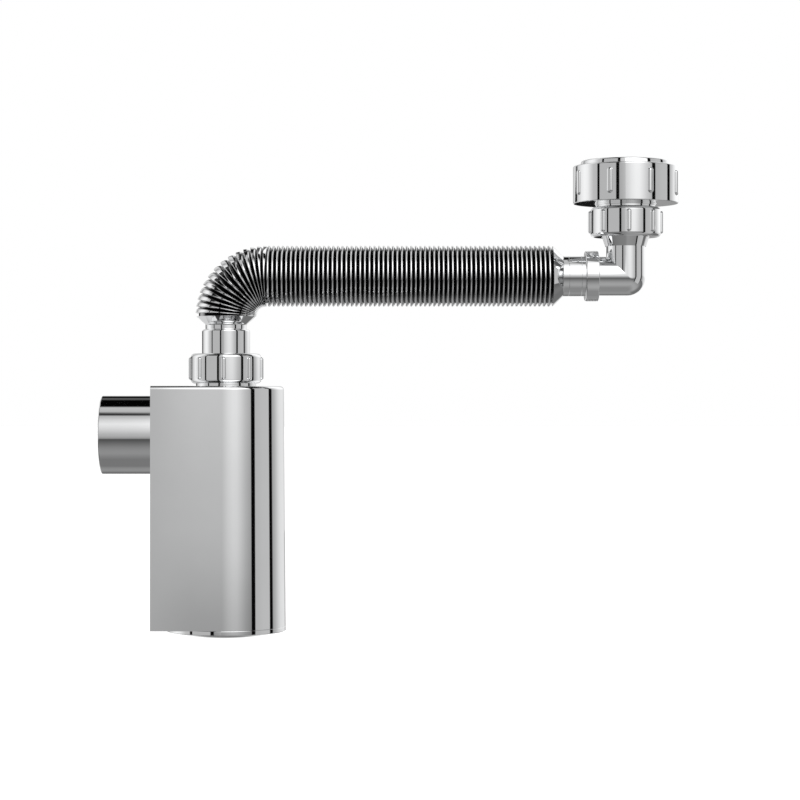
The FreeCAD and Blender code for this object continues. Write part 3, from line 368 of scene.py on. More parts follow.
# The spigot plugs into the wall and slides in the housing.
spigot = {"radius": 25.0, "insertRadius": 24.6, "bore": 22.6, "front": 24.0, "back": -34.4, "edge": 0.7}
spigotLength = spigot["front"] - spigot["back"]
finishPiece("outletPipe", [turnedMesh(named(spigot, [
    ("bore", 0, 0.3), ("insertRadius", 0, 0.3), ("insertRadius", "front"), ("radius", "front", 0.15),
    ("radius", spigotLength, "edge"), ("bore", spigotLength, "edge"),
]), 192)], "outlet_pipe", "wall_pipe", "chrome_pipe", (spigot["front"], 0, 0), "left")

# The trap's body: straight back, round front, threaded neck and foot.
shell = {
    "radius": 38.1, "topRadius": 36.9, "foot": -122.0, "top": 31.2, "wall": 2.5, "plate": 3.0, "edge": 2.2,
    "neckRadius": 19.2, "neckBore": 15.8, "neckTop": 45.7, "cone": 2.4, "ledge": 34.2, "ledgeBore": 14.6,
    "footBore": 33.0, "sleeve": 36.2, "sleeveHeight": 14.0, "recess": 35.0, "recessDepth": 2.2,
    "socketRadius": 29.6, "socketBore": 24.7, "socketLength": 20.0, "sides": 200, "holeLap": 0.5,
    "threadPitch": 2.3, "threadFoot": 5.0, "threadTurns": 4,
}
footLook = {"threadPitch": 4.0, "threadFoot": 4.4, "threadTurns": 2, "gap": 0.05}


def planEdges(bm, radius, back, height):
    # The housing's D: a half round and a straight back.
    bmesh.ops.create_circle(
        bm, cap_ends=False, segments=shell["sides"], radius=radius, matrix=Matrix.Translation((0, 0, height))
    )
    flat = [vert for vert in bm.verts if abs(vert.co.z - height) < tiny]
    bmesh.ops.delete(bm, geom=[vert for vert in flat if vert.co.x < -0.001], context="VERTS")
    flat = [vert for vert in bm.verts if abs(vert.co.z - height) < tiny]
    ends = [vert for vert in flat if vert.co.x < 0.001]
    rear = bmesh.ops.extrude_vert_indiv(bm, verts=ends)["verts"]
    for vert in rear:
        vert.co.x = -back
    bm.edges.new(rear)
    return [edge for edge in bm.edges if all(abs(vert.co.z - height) < tiny for vert in edge.verts)]


def dPrism(radius, topRadius, back, foot, top, edgeRounding):
    # A closed D-shaped block, narrower at its top, its top edge rounded except at the back.
    bm = bmesh.new()
    outline = planEdges(bm, radius, back, foot)
    bmesh.ops.contextual_create(bm, geom=outline)
    grown = bmesh.ops.extrude_edge_only(bm, edges=outline)["geom"]
    upper = [item for item in grown if isinstance(item, bmesh.types.BMVert)]
    share = topRadius / radius
    for vert in upper:
        vert.co.z = top
        vert.co.y *= share
        if vert.co.x > 0:
            vert.co.x *= share
    rim = [item for item in grown if isinstance(item, bmesh.types.BMEdge)
           and all(abs(vert.co.z - top) < tiny for vert in item.verts)]
    bmesh.ops.contextual_create(bm, geom=rim)
    if edgeRounding:
        soft = [edge for edge in rim if not all(vert.co.x < tiny - back for vert in edge.verts)]
        bmesh.ops.bevel(
            bm, geom=soft, offset=edgeRounding, offset_type="OFFSET", segments=5, profile=0.5,
            affect="EDGES", clamp_overlap=True, material=-1,
        )
    bmesh.ops.recalc_face_normals(bm, faces=bm.faces)
    return bm


def openHole(bm, normal, place, radius, segments=128):
    # Opens a round hole in the flat face that looks along normal at that place.
    facing = Vector(normal)
    centre = Vector(place)
    bm.normal_update()
    face = max(
        (item for item in bm.faces if item.normal.dot(facing) > 0.99
         and abs((item.calc_center_median() - centre).dot(facing)) < 0.05),
        key=lambda item: item.calc_area(),
    )
    border = face.edges[:]
    bmesh.ops.delete(bm, geom=[face], context="FACES_ONLY")
    turn = facing.to_track_quat("Z", "Y").to_matrix().to_4x4()
    ring = bmesh.ops.create_circle(
        bm, cap_ends=False, segments=segments, radius=radius, matrix=Matrix.Translation(centre) @ turn
    )["verts"]
    rim = list({edge for vert in ring for edge in vert.link_edges})
    filled = bmesh.ops.triangle_fill(
        bm, use_beauty=True, use_dissolve=False, edges=border + rim, normal=facing,
    )
    for item in filled["geom"]:
        if isinstance(item, bmesh.types.BMFace) and item.normal.dot(facing) < 0:
            item.normal_flip()


def makeHousing():
    radius, topRadius, wall = (shell[name] for name in ("radius", "topRadius", "wall"))
    foot, top, plate = (shell[name] for name in ("foot", "top", "plate"))
    base = foot + plate
    roof = top - plate
    outer = dPrism(radius, topRadius, trapAxis, foot, top, shell["edge"])
    inner = dPrism(radius - wall, topRadius - wall, trapAxis - wall, base, roof, 0)
    openHole(outer, (0, 0, 1), (0, 0, top), shell["neckRadius"] - shell["holeLap"])
    openHole(outer, (0, 0, -1), (0, 0, foot), shell["sleeve"] - shell["holeLap"])
    openHole(outer, (-1, 0, 0), (-trapAxis, 0, 0), shell["socketBore"])
    openHole(inner, (0, 0, 1), (0, 0, roof), shell["ledgeBore"])
    openHole(inner, (0, 0, -1), (0, 0, base), shell["footBore"])
    openHole(inner, (-1, 0, 0), (wall - trapAxis, 0, 0), shell["socketBore"])
    bmesh.ops.reverse_faces(inner, faces=inner.faces)
    neck = turnedMesh(named(shell, [
        ("neckRadius", roof), ("neckRadius", "neckTop", 0.3),
        (shell["neckBore"] + shell["cone"], "neckTop"), ("neckBore", shell["neckTop"] - shell["cone"]),
        ("neckBore", "ledge"), ("ledgeBore", "ledge"), ("ledgeBore", roof),
    ]))
    sleeveTop = foot + shell["sleeveHeight"]
    recessTop = foot + shell["recessDepth"]
    sleeve = turnedMesh(named(shell, [
        ("recess", foot), ("sleeve", foot), ("sleeve", sleeveTop), ("footBore", sleeveTop),
        ("footBore", recessTop), ("recess", recessTop),
    ]))
    socket = turnedMesh(named(shell, [
        ("socketBore", 0), ("socketBore", "socketLength", 0.4), ("socketRadius", "socketLength", 0.8),
        ("socketRadius", 0),
    ]))
    bmesh.ops.transform(
        socket, verts=socket.verts, matrix=Matrix.Translation((-trapAxis, 0, 0)) @ directions["right"]
    )
    neckThread = outerThread(shell, shell["neckRadius"], top)
    footThread = threadMesh(footLook, shell["footBore"] + footLook["gap"], 0.0, foot, inward=True)
    parts = [outer, inner, neck, sleeve, socket, neckThread, footThread]
    for part in parts:
        bmesh.ops.translate(part, verts=part.verts, vec=(trapAxis, 0, 0))
    return parts


finishPiece("trapHousing", makeHousing(), "trap_housing", "trap", "chrome_shell")
print("housing ready")

# The cap screws into the foot of the housing.
capLook = {
    "place": -129.6, "radius": 38.1, "rim": 3.0, "dome": 4.6, "domeSteps": 14, "inset": 1.6, "plug": 32.9,
    "plugHeight": 12.0, "wall": 2.5, "threadPitch": 4.0, "threadFoot": 3.6, "threadTurns": 1.5,
}
capFace = capLook["radius"] - capLook["inset"]
domeRadius = (capFace ** 2 + capLook["dome"] ** 2) / (2 * capLook["dome"])
domePlaces = [capFace * step / capLook["domeSteps"] for step in range(capLook["domeSteps"] + 1)]
domeCorners = [(place, domeRadius - math.sqrt(domeRadius ** 2 - place ** 2)) for place in domePlaces]
capTop = capLook["dome"] + capLook["rim"]
plugTop = capTop + capLook["plugHeight"]
finishPiece("cleaningCap", [
    turnedMesh(domeCorners + named(capLook, [
        ("radius", "dome", 0.4), ("radius", capTop, 0.45), ("plug", capTop), ("plug", plugTop, 0.5),
        (capLook["plug"] - capLook["wall"], plugTop, 0.5),
        (capLook["plug"] - capLook["wall"], capLook["dome"] + capLook["wall"], 1.2),
        (0, capLook["dome"] + capLook["wall"]),
    ]), 192),
    outerThread(capLook, capLook["plug"], capTop),
], "cleaning_cap", "cap", "chrome_shell", (trapAxis, 0, capLook["place"]))


# Rings, washers and seals.
ringLook = {
    "steps": 96, "sectionSides": 16, "soft": 0.22, "capRadius": 33.9, "capSection": 0.9, "capPlace": -121.0,
    "noseRadius": 10.4, "noseSection": 0.74, "nosePlace": 268.0, "noseHeights": (0, 5.0),
}


def makeRing(name, node, body, slot, corners, place, direction="up"):
    finishPiece(name, [turnedMesh(corners, ringLook["steps"], 3)], node, body, slot, place, direction)


def roundRing(middle, section, height):
    bm = bmesh.new()
    bmesh.ops.create_circle(
        bm, cap_ends=False, segments=ringLook["sectionSides"], radius=section,
        matrix=Matrix.Translation((middle, 0, height)) @ Matrix.Rotation(math.pi / 2, 4, "X"),
    )
    spinAll(bm, ringLook["steps"])
    return bm


lipLook = {
    "place": 4.1, "bore": 24.7, "radius": 27.5, "height": 5.0, "outerLip": 26.4, "groove": 26.1,
    "grooveFloor": 3.0, "innerLip": 25.7,
}
makeRing("outletSeal", "outlet_seal", "trap", "black_rubber", named(lipLook, [
    ("bore", 0, 0.3), ("radius", 0, 0.3), ("radius", "height", 0.2), ("outerLip", "height"),
    ("groove", "grooveFloor"), ("innerLip", "height"), ("bore", "height", 0.2),
]), (lipLook["place"], 0, 0), "right")
# Name, node, body, finish, bore, outer radius, height, and the axis and height of its place.
flatRings = [
    ("slipRingInlet", "inlet_slip_ring", "inlet_thread", "pale_plastic", 15.4, 19.0, 1.4, trapAxis, 47.9),
    ("slipRingElbow", "elbow_slip_ring", "elbow_thread", "pale_plastic", 15.1, 18.7, 1.4, elbowAxis, 129.3),
    ("gasketDip", "dip_tube_gasket", "trap", "black_rubber", 12.6, 15.5, 1.6, trapAxis, 36.2),
    ("gasketWaste", "waste_gasket", "adapter_body", "black_rubber", 18.6, 22.2, 2.8, elbowAxis, 153.4),
]
for name, node, body, slot, bore, radius, height, axis, foot in flatRings:
    soft = min(height, radius - bore) * ringLook["soft"]
    makeRing(name, node, body, slot, [
        (bore, 0, soft), (radius, 0, soft), (radius, height, soft), (bore, height, soft),
    ], (axis, 0, foot))
sealLook = {"cone": 2.1, "rim": 1.8}


def coneSeal(name, node, body, pipe, neck, rim, place, direction):
    makeRing(name, node, body, "black_rubber", [
        (pipe, -sealLook["cone"], 0.15), (neck, -sealLook["cone"], 0.15), (neck + sealLook["cone"], 0),
        (rim, 0, 0.3), (rim, sealLook["rim"], 0.3), (pipe, sealLook["rim"], 0.2),
    ], place, direction)


coneSeal("sealInlet", "inlet_seal", "hose_foot", 15.4, 15.7, 19.0, (trapAxis, 0, 46.0), "up")
coneSeal("sealElbow", "elbow_seal", "elbow_body", 15.1, 15.2, 18.7, (elbowAxis, 0, 132.6), "down")
finishPiece(
    "ringCap", [roundRing(ringLook["capRadius"], ringLook["capSection"], 0)], "cap_o_ring", "cap_thread",
    "black_rubber", (trapAxis, 0, ringLook["capPlace"]),
)
finishPiece("ringsNose", [
    roundRing(ringLook["noseRadius"], ringLook["noseSection"], height) for height in ringLook["noseHeights"]
], "elbow_o_rings", "elbow_body", "black_rubber", (ringLook["nosePlace"], 0, hoseAxis), "right")
dipLook = {"radius": 14.4, "bore": 12.6, "foot": -80.0, "flange": 15.5, "ledge": 34.2, "top": 36.2}
makeRing("dipTube", "dip_tube", "trap", "pale_plastic", named(dipLook, [
    ("bore", "foot", 0.5), ("radius", "foot", 0.5), ("radius", "ledge"), ("flange", "ledge", 0.2),
    ("flange", "top", 0.2), ("bore", "top", 0.2),
]), (trapAxis, 0, 0))
print("rings and seals ready")

# The two ribbed union nuts are alike.
unionLook = {
    "radius": 22.4, "height": 19.0, "floor": 2.6, "edge": 2.3, "ribs": 8, "ribHeight": 1.6, "ribWidth": 3.2,
    "ribLength": 14.4, "threadDepth": 0.55, "threadPitch": 2.3, "threadFoot": 2.4, "threadTurns": 3,
}


def makeUnionNut(name, node, body, pipe, bore, place, direction):
    height = unionLook["height"]
    barrel = turnedMesh(named(unionLook, [
        (bore, 0, 0.5), ("radius", 0, "edge"), ("radius", height, "edge"), (pipe, height, 0.4),
        (pipe, height - unionLook["floor"]), (bore, height - unionLook["floor"]),
    ]), 144, 7)
    ribs = ribMesh(unionLook, (height - unionLook["ribLength"]) / 2)
    depth = unionLook["threadDepth"]
    thread = threadMesh(unionLook, bore + depth, depth, 0, inward=True)
    finishPiece(name, [barrel, ribs, thread], node, body, "chrome_nut", place, direction)


makeUnionNut("inletNut", "inlet_nut", "inlet_union", 15.45, 19.3, (trapAxis, 0, 33.0), "up")
makeUnionNut("elbowNut", "elbow_nut", "elbow_union", 15.15, 19.0, (elbowAxis, 0, 145.6), "down")

# The large ribbed nut under the basin.
wasteLook = {
    "place": 148.0, "radius": 33.6, "height": 23.9, "floor": 3.0, "collarBore": 19.5, "bore": 22.42,
    "rimRadius": 28.8, "rimHeight": 3.3, "rimTaper": 0.4, "edge": 0.9, "relief": 23.52, "reliefTop": 8.3,
    "mouth": 1.2, "ribs": 8, "ribHeight": 1.2, "ribWidth": 4.0, "ribLength": 16.4, "ribFoot": 4.2,
    "phase": 22.5, "threadGap": 0.3, "threadDepth": 0.5, "threadPitch": 2.3, "threadFoot": 2.0,
    "threadTurns": 6,
}
wasteTop = wasteLook["height"] + wasteLook["rimHeight"]
finishPiece("wasteNut", [
    turnedMesh(named(wasteLook, [
        ("collarBore", 0, 0.4), ("radius", 0, 0.5), ("radius", "height", "edge"),
        ("rimRadius", "height"), (wasteLook["rimRadius"] - wasteLook["rimTaper"], wasteTop, 0.8),
        (wasteLook["bore"] + wasteLook["mouth"], wasteTop), ("bore", wasteTop - wasteLook["mouth"]),
        ("bore", "reliefTop"), ("relief", "reliefTop"), ("relief", "floor"), ("collarBore", "floor"),
    ]), 192, 6),
    ribMesh(wasteLook, wasteLook["ribFoot"], math.radians(wasteLook["phase"])),
    threadMesh(
        wasteLook, wasteLook["bore"] + wasteLook["threadGap"], wasteLook["threadDepth"],
        wasteLook["reliefTop"], inward=True,
    ),
], "waste_nut", "waste_union", "chrome_nut", (elbowAxis, 0, wasteLook["place"]))
print("nuts ready")

# The neck between the upper union nut and the waste nut.
adapterLook = {
    "foot": 132.9, "step": 146.8, "seat": 151.1, "top": 153.4, "mouth": 17.7, "radius": 18.9, "collar": 19.4,
    "flange": 22.2, "bore": 18.6, "throat": 13.2, "socket": 15.3, "socketTop": 9.1, "cone": 2.4,
    "threadPitch": 2.3, "threadFoot": 3.0, "threadTurns": 3,
}
adapterStep = adapterLook["step"] - adapterLook["foot"]
adapterSeat = adapterLook["seat"] - adapterLook["foot"]
adapterTop = adapterLook["top"] - adapterLook["foot"]
finishPiece("adapterNeck", [
    turnedMesh(named(adapterLook, [
        ("mouth", 0), ("radius", 0, 0.3), ("radius", adapterStep), ("collar", adapterStep, 0.2),
        ("collar", adapterSeat), ("flange", adapterSeat, 0.3), ("flange", adapterTop, 0.3),
        ("bore", adapterTop, 0.4), ("throat", adapterStep), ("throat", "socketTop"),
        ("socket", "socketTop"), ("socket", "cone"),
    ])),
    outerThread(adapterLook, adapterLook["radius"], 0),
], "adapter", "adapter_body", "chrome_shell", (elbowAxis, 0, adapterLook["foot"]))

# The cuffs at both ends of the hose.
lowerLook = {
    "foot": 38.1, "cuff": 15.3, "cuffTop": 67.4, "neck": 13.1, "coneFoot": 70.6, "coneTop": 75.8,
    "coneRadius": 18.8, "wall": 1.8, "shoulder": 1.2,
}
cuffBore = lowerLook["cuff"] - lowerLook["wall"]
neckBore = lowerLook["neck"] - lowerLook["wall"]
cuffRoof = lowerLook["cuffTop"] - lowerLook["wall"]
finishPiece("lowerHoseTail", [turnedMesh(named(lowerLook, [
    (cuffBore, "foot", 0.4), ("cuff", "foot", 0.4), ("cuff", "cuffTop", "shoulder"),
    ("neck", "cuffTop", 0.4), ("neck", "coneFoot", 0.5), ("coneRadius", "coneTop", 0.15),
    (lowerLook["coneRadius"] - lowerLook["wall"], "coneTop"), (neckBore, "coneFoot"),
    (neckBore, cuffRoof), (cuffBore, cuffRoof),
]))], "lower_hose_tail", "hose_foot", "chrome_pipe", (trapAxis, 0, 0))

upperLook = {
    "start": 253.6, "coneRadius": 19.3, "coneLength": 6.6, "cuff": 12.8, "mouth": 14.85, "mouthBore": 13.55,
    "bore": 11.2, "wall": 1.8, "mouthStart": 22.1, "mouthFloor": 23.2, "end": 26.4, "lines": (10.3, 18.3),
    "lineWidth": 0.3, "lineDepth": 0.12,
}
cuffLine = []
for line in upperLook["lines"]:
    half = upperLook["lineWidth"] / 2
    cuffLine += [
        (upperLook["cuff"], line - half), (upperLook["cuff"] - upperLook["lineDepth"], line),
        (upperLook["cuff"], line + half),
    ]
finishPiece("upperHoseTail", [turnedMesh(named(upperLook, [
    (upperLook["coneRadius"] - upperLook["wall"], 0), ("coneRadius", 0, 0.15),
    ("cuff", "coneLength", 0.3), *cuffLine, ("cuff", "mouthStart"), ("mouth", "mouthStart", 0.3),
    ("mouth", "end", 0.3), ("mouthBore", "end"), ("mouthBore", "mouthFloor"), ("bore", "mouthFloor"),
    ("bore", "coneLength"),
]))], "upper_hose_tail", "hose_head", "chrome_pipe", (upperLook["start"], 0, hoseAxis), "right")

# The collar that keeps the elbow in the hose's end.
collarLook = {
    "start": 274.3, "radius": 16.05, "length": 8.6, "lip": 1.3, "wall": 1.1, "edge": 0.8, "back": 5.8,
    "bore": 12.9, "pipe": 12.6, "gripLines": 7, "gripTurn": 50.0, "gripSteps": 18, "gripHeight": 0.16,
    "gripSunk": 0.3, "gripSpread": 0.34,
}


def collarGrip():
    # Short raised lines round the top and the bottom of the collar.
    bm = bmesh.new()
    pitch = (collarLook["length"] - 2 * collarLook["edge"]) / collarLook["gripLines"]
    for line in range(collarLook["gripLines"]):
        middle = collarLook["edge"] + pitch * (line + 0.5)
        spread = pitch * collarLook["gripSpread"]
        root = collarLook["radius"] - collarLook["gripSunk"]
        tip = collarLook["radius"] + collarLook["gripHeight"]
        corners = [(root, middle - spread), (tip, middle), (root, middle + spread)]
        verts = [bm.verts.new((place, 0, height)) for place, height in corners]
        bm.faces.new(verts)
    half = math.radians(collarLook["gripTurn"] / 2)
    turnAbout(bm, bm.verts, -half)
    spinAbout(bm, wholeOf(bm), 2 * half, collarLook["gripSteps"])
    bmesh.ops.recalc_face_normals(bm, faces=bm.faces)
    copy = bmesh.ops.duplicate(bm, geom=wholeOf(bm))["geom"]
    turnAbout(bm, [item for item in copy if isinstance(item, bmesh.types.BMVert)], math.pi)
    return bm


collarInside = collarLook["radius"] - collarLook["wall"]
finishPiece("snapCollar", [
    turnedMesh(named(collarLook, [
        ("bore", 0, 0.3), ("radius", 0, "edge"), ("radius", "length", "edge"), ("pipe", "length", 0.3),
        ("pipe", "back"), (collarInside, "back"), (collarInside, "lip"), ("bore", "lip"),
    ])),
    collarGrip(),
], "retaining_collar", "hose_head", "chrome_pipe", (collarLook["start"], 0, hoseAxis), "right")
print("tails and collar ready")

# The elbow is mitred inside its bend and rounded outside.
elbowLook = {
    "radius": 12.4, "wall": 2.2, "cornerRadius": 11.4, "cornerSteps": 14, "cornerReach": 13.6, "sides": 128,
    "noseStart": -36.6, "nose": 10.9, "noseBore": 8.2, "grooves": (-33.4, -28.4), "grooveDepth": 1.3,
    "grooveWidth": 1.8, "flangeStart": -23.6, "flangeEnd": -20.6, "flange": 13.45, "flareFoot": 19.0,
    "flareStep": 13.0, "pipeFoot": 25.0, "pipe": 15.0, "pipeTop": 39.4,
}


def cornerRounding(outward):
    # Rounding of the corner where the wall is that far out: a mitre inside the bend, full outside.
    return elbowLook["cornerRadius"] * softStep(outward, 0, elbowLook["radius"])


def elbowPoint(kind, place, radius, around):
    # around is 0 on the outside of the bend; kind says which leg, or "corner" for a share of the turn.
    outward = math.cos(around) * radius
    sideways = math.sin(around) * radius
    if kind == "level":
        return Vector((place, sideways, -outward))
    if kind == "upright":
        return Vector((outward, sideways, place))
    rounding = cornerRounding(outward)
    turn = place * math.pi / 2
    return Vector((
        outward - rounding + rounding * math.sin(turn), sideways,
        -outward + rounding - rounding * math.cos(turn),
    ))


def leg(kind, *points):
    return [(kind, place, radius) for place, radius in points]


def elbowStations():
    # The rings of the tube in order: along the outside from nose to top, then back along the inside.
    inside = elbowLook["radius"] - elbowLook["wall"]
    pipeInside = elbowLook["pipe"] - elbowLook["wall"]
    reach = elbowLook["cornerReach"]
    shares = [step / elbowLook["cornerSteps"] for step in range(elbowLook["cornerSteps"] + 1)]
    grooveFloor = elbowLook["nose"] - elbowLook["grooveDepth"]
    stations = leg("level", ("noseStart", "nose"))
    for groove in elbowLook["grooves"]:
        grooveEnd = groove + elbowLook["grooveWidth"]
        stations += leg(
            "level", (groove, "nose"), (groove, grooveFloor), (grooveEnd, grooveFloor), (grooveEnd, "nose"),
        )
    stations += leg(
        "level", ("flangeStart", "nose"), ("flangeStart", "flange"), ("flangeEnd", "flange"),
        ("flangeEnd", "radius"), (-reach, "radius"),
    )
    stations += leg("corner", *((share, "radius") for share in shares))
    stations += leg(
        "upright", (reach, "radius"), ("flareFoot", "radius"), ("flareFoot", "flareStep"),
        ("pipeFoot", "pipe"), ("pipeTop", "pipe"), ("pipeTop", pipeInside), ("pipeFoot", pipeInside),
        ("flareFoot", inside), (reach, inside),
    )
    stations += leg("corner", *((1 - share, inside) for share in shares))
    stations += leg(
        "level", ("flangeEnd", inside), ("flangeStart", "noseBore"), ("noseStart", "noseBore"),
    )
    return named(elbowLook, stations)


def makeElbow():
    bm = bmesh.new()
    around = bm.verts.layers.float.new("around")
    bmesh.ops.create_circle(bm, cap_ends=False, segments=elbowLook["sides"], radius=1.0)
    for vert in bm.verts:
        vert[around] = math.atan2(vert.co.y, vert.co.x)
    firstRing = bm.edges[:]
    edges = firstRing
    ring = bm.verts[:]
    for count, (kind, place, radius) in enumerate(elbowStations()):
        if count:
            grown = bmesh.ops.extrude_edge_only(bm, edges=edges)["geom"]
            ring = [item for item in grown if isinstance(item, bmesh.types.BMVert)]
            chosen = set(ring)
            edges = [item for item in grown if isinstance(item, bmesh.types.BMEdge)
                     and chosen.issuperset(item.verts)]
        for vert in ring:
            vert.co = elbowPoint(kind, place, radius, vert[around])
    bmesh.ops.bridge_loops(bm, edges=firstRing + edges)
    bmesh.ops.remove_doubles(bm, verts=bm.verts, dist=0.01)
    bmesh.ops.recalc_face_normals(bm, faces=bm.faces)
    return bm


finishPiece(
    "elbowTube", [makeElbow()], "elbow", "elbow_body", "chrome_pipe", (elbowAxis, 0, hoseAxis),
    sharpAngle=8.0,
)
print("elbow ready")

# The hose: one piece for the bend and one for the level run.
hoseLook = {
    "crest": 19.5, "root": 17.4, "bore": 16.2, "boreSteps": 24, "sides": 96, "sharpAngle": 30.0, "foot": 75.8,
    "bendRadius": 25.8, "end": 253.6, "endGap": 0.02, "bendFolds": 14, "runFolds": 62, "bendLead": 0.6,
    "runLead": 0.45, "spread": 0.2,
    # Where the bend opens its folds, as a distance from its centre over its radius: from and to.
    "opens": (1.1, 1.6),
    # Where the painted valley shade gets lighter: how much, from and to. The first two are shares of the way
    # round the hose, towards the side that faces the bend's centre; the others are distances like those
    # above.
    "underLight": (0.45, 0.55, 0.90), "overLight": (0.4, -0.74, -0.88), "openLight": (0.2, 1.1, 1.5),
    "innerLight": (0.95, 0.58, 0.40),
}
bendEnd = trapAxis + hoseLook["bendRadius"]
bendLength = hoseLook["bendRadius"] * math.pi / 2
runLength = hoseLook["end"] - bendEnd
runPitch = runLength / (hoseLook["runFolds"] + hoseLook["runLead"])

# One fold from its steep face to its valley: share of the fold, share of the depth, painted shade, and how
# far the point moves on and sinks where the bend opens the fold.
foldShape = [
    (-0.07, 0.0, 1.0, 0.0, 0.0), (-0.03, 0.72, 0.9, -0.02, 0.0), (0.0, 0.93, 0.3, -0.02, 0.0),
    (0.07, 1.0, 0.0, -0.04, 0.0), (0.23, 1.0, 0.0, 0.20, 0.16), (0.30, 0.92, 0.2, 0.26, 0.26),
    (0.37, 0.78, 0.9, 0.27, 0.26), (0.60, 0.42, 0.95, 0.16, 0.08), (0.80, 0.0, 1.0, 0.06, 0.0),
]
# The first layer holds how much painted shade darkens each point of a valley.
foldLayers = ("foldShade", "foldOpening", "foldSinking")


def paintedShadeKept(name, value):
    # The share of a valley's painted shade that is left there.
    amount, start, full = hoseLook[name]
    return 1 - amount * softStep(value, start, full)


def crestPlace(fold):
    if fold <= hoseLook["bendFolds"]:
        share = (fold - 1 + hoseLook["bendLead"]) / hoseLook["bendFolds"]
        turn = share - hoseLook["spread"] * math.sin(fullTurn * share) / fullTurn
        return bendLength * turn
    return bendLength + runPitch * (fold - hoseLook["bendFolds"] - 1 + hoseLook["runLead"])


def foldOutline(firstFold, lastFold, start, end):
    # Radius, place, painted shade, opening and sinking along the outside of those folds, start to end.
    root = hoseLook["root"]
    depth = hoseLook["crest"] - root
    outline = [(root, start, 1.0, 0.0, 0.0)]
    for fold in range(firstFold, lastFold + 1):
        here = crestPlace(fold)
        pitch = crestPlace(fold + 1) - here
        for share, rise, shade, opening, sinking in foldShape:
            place = here + share * pitch
            if start + hoseLook["endGap"] < place < end - hoseLook["endGap"]:
                outline.append((root + depth * rise, place, shade, opening * pitch, depth * sinking))
    outline.append((root, end, 1.0, 0.0, 0.0))
    return outline


def makeBellows(firstFold, lastFold, start, end):
    # Those folds as a straight tube on Z, with a plain bore.
    bm = bmesh.new()
    for name in foldLayers:
        bm.verts.layers.float.new(name)
    layers = [bm.verts.layers.float[name] for name in foldLayers]
    steps = hoseLook["boreSteps"]
    bore = [
        (hoseLook["bore"], end + (start - end) * step / steps, 1.0, 0.0, 0.0) for step in range(steps + 1)
    ]
    verts = []
    for radius, place, *values in foldOutline(firstFold, lastFold, start, end) + bore:
        vert = bm.verts.new((radius, 0, place))
        for layer, value in zip(layers, values):
            vert[layer] = value
        verts.append(vert)
    closeLoop(bm, verts)
    spinAll(bm, hoseLook["sides"])
    # Painted shade is lessened in the valleys on the side towards the bend's centre and on the side away from
    # it.
    for vert in bm.verts:
        under = vert.co.x / math.hypot(vert.co.x, vert.co.y)
        vert[layers[0]] *= paintedShadeKept("underLight", under) * paintedShadeKept("overLight", under)
    return bm


def bendMesh(bm):
    # Wraps the straight bellows round the quarter bend towards +X.
    # The folds open on the outside of the bend, so their painted valley shade is made lighter there; it is
    # made lighter on the inside of the bend too.
    shade, opening, sinking = (bm.verts.layers.float[name] for name in foldLayers)
    for vert in bm.verts:
        opened = 1 - vert.co.x / hoseLook["bendRadius"]
        amount = softStep(opened, *hoseLook["opens"])
        sunk = vert[sinking] * amount / math.hypot(vert.co.x, vert.co.y)
        vert.co.x *= 1 - sunk
        vert.co.y *= 1 - sunk
        reach = hoseLook["bendRadius"] - vert.co.x
        turn = (vert.co.z + vert[opening] * amount) / hoseLook["bendRadius"]
        # Painted shade: the valleys' darkening is lessened where the bend opens its folds and on the bend's
        # inside.
        if vert[shade] < 1:
            vert[shade] *= paintedShadeKept("openLight", opened)
        vert[shade] *= paintedShadeKept("innerLight", opened)
        vert.co = Vector((
            bendEnd - reach * math.cos(turn), vert.co.y, hoseLook["foot"] + reach * math.sin(turn),
        ))
    return bm


bendPiece = finishPiece(
    "hoseBend", [bendMesh(makeBellows(1, hoseLook["bendFolds"], 0, bendLength))], "bellows_hose", None,
    "chrome_bellows", sharpAngle=hoseLook["sharpAngle"],
)
runPiece = finishPiece(
    "hoseRun", [makeBellows(
        hoseLook["bendFolds"] + 1, hoseLook["bendFolds"] + hoseLook["runFolds"], bendLength,
        bendLength + runLength,
    )], "bellows_hose", None, "chrome_bellows", (bendEnd - bendLength, 0, hoseAxis), "right",
    hoseLook["sharpAngle"],
)
hoseFoot = (trapAxis * mm, 0, hoseLook["foot"] * mm)
hoseMiddle = (bendEnd * mm, 0, hoseAxis * mm)
hoseEnd = (hoseLook["end"] * mm, 0, hoseAxis * mm)
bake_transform(bendPiece, "hose_foot", "hose_run", hoseFoot, hoseMiddle)
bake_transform(runPiece, "hose_run", "hose_head", hoseMiddle, hoseEnd)
print("hose ready")

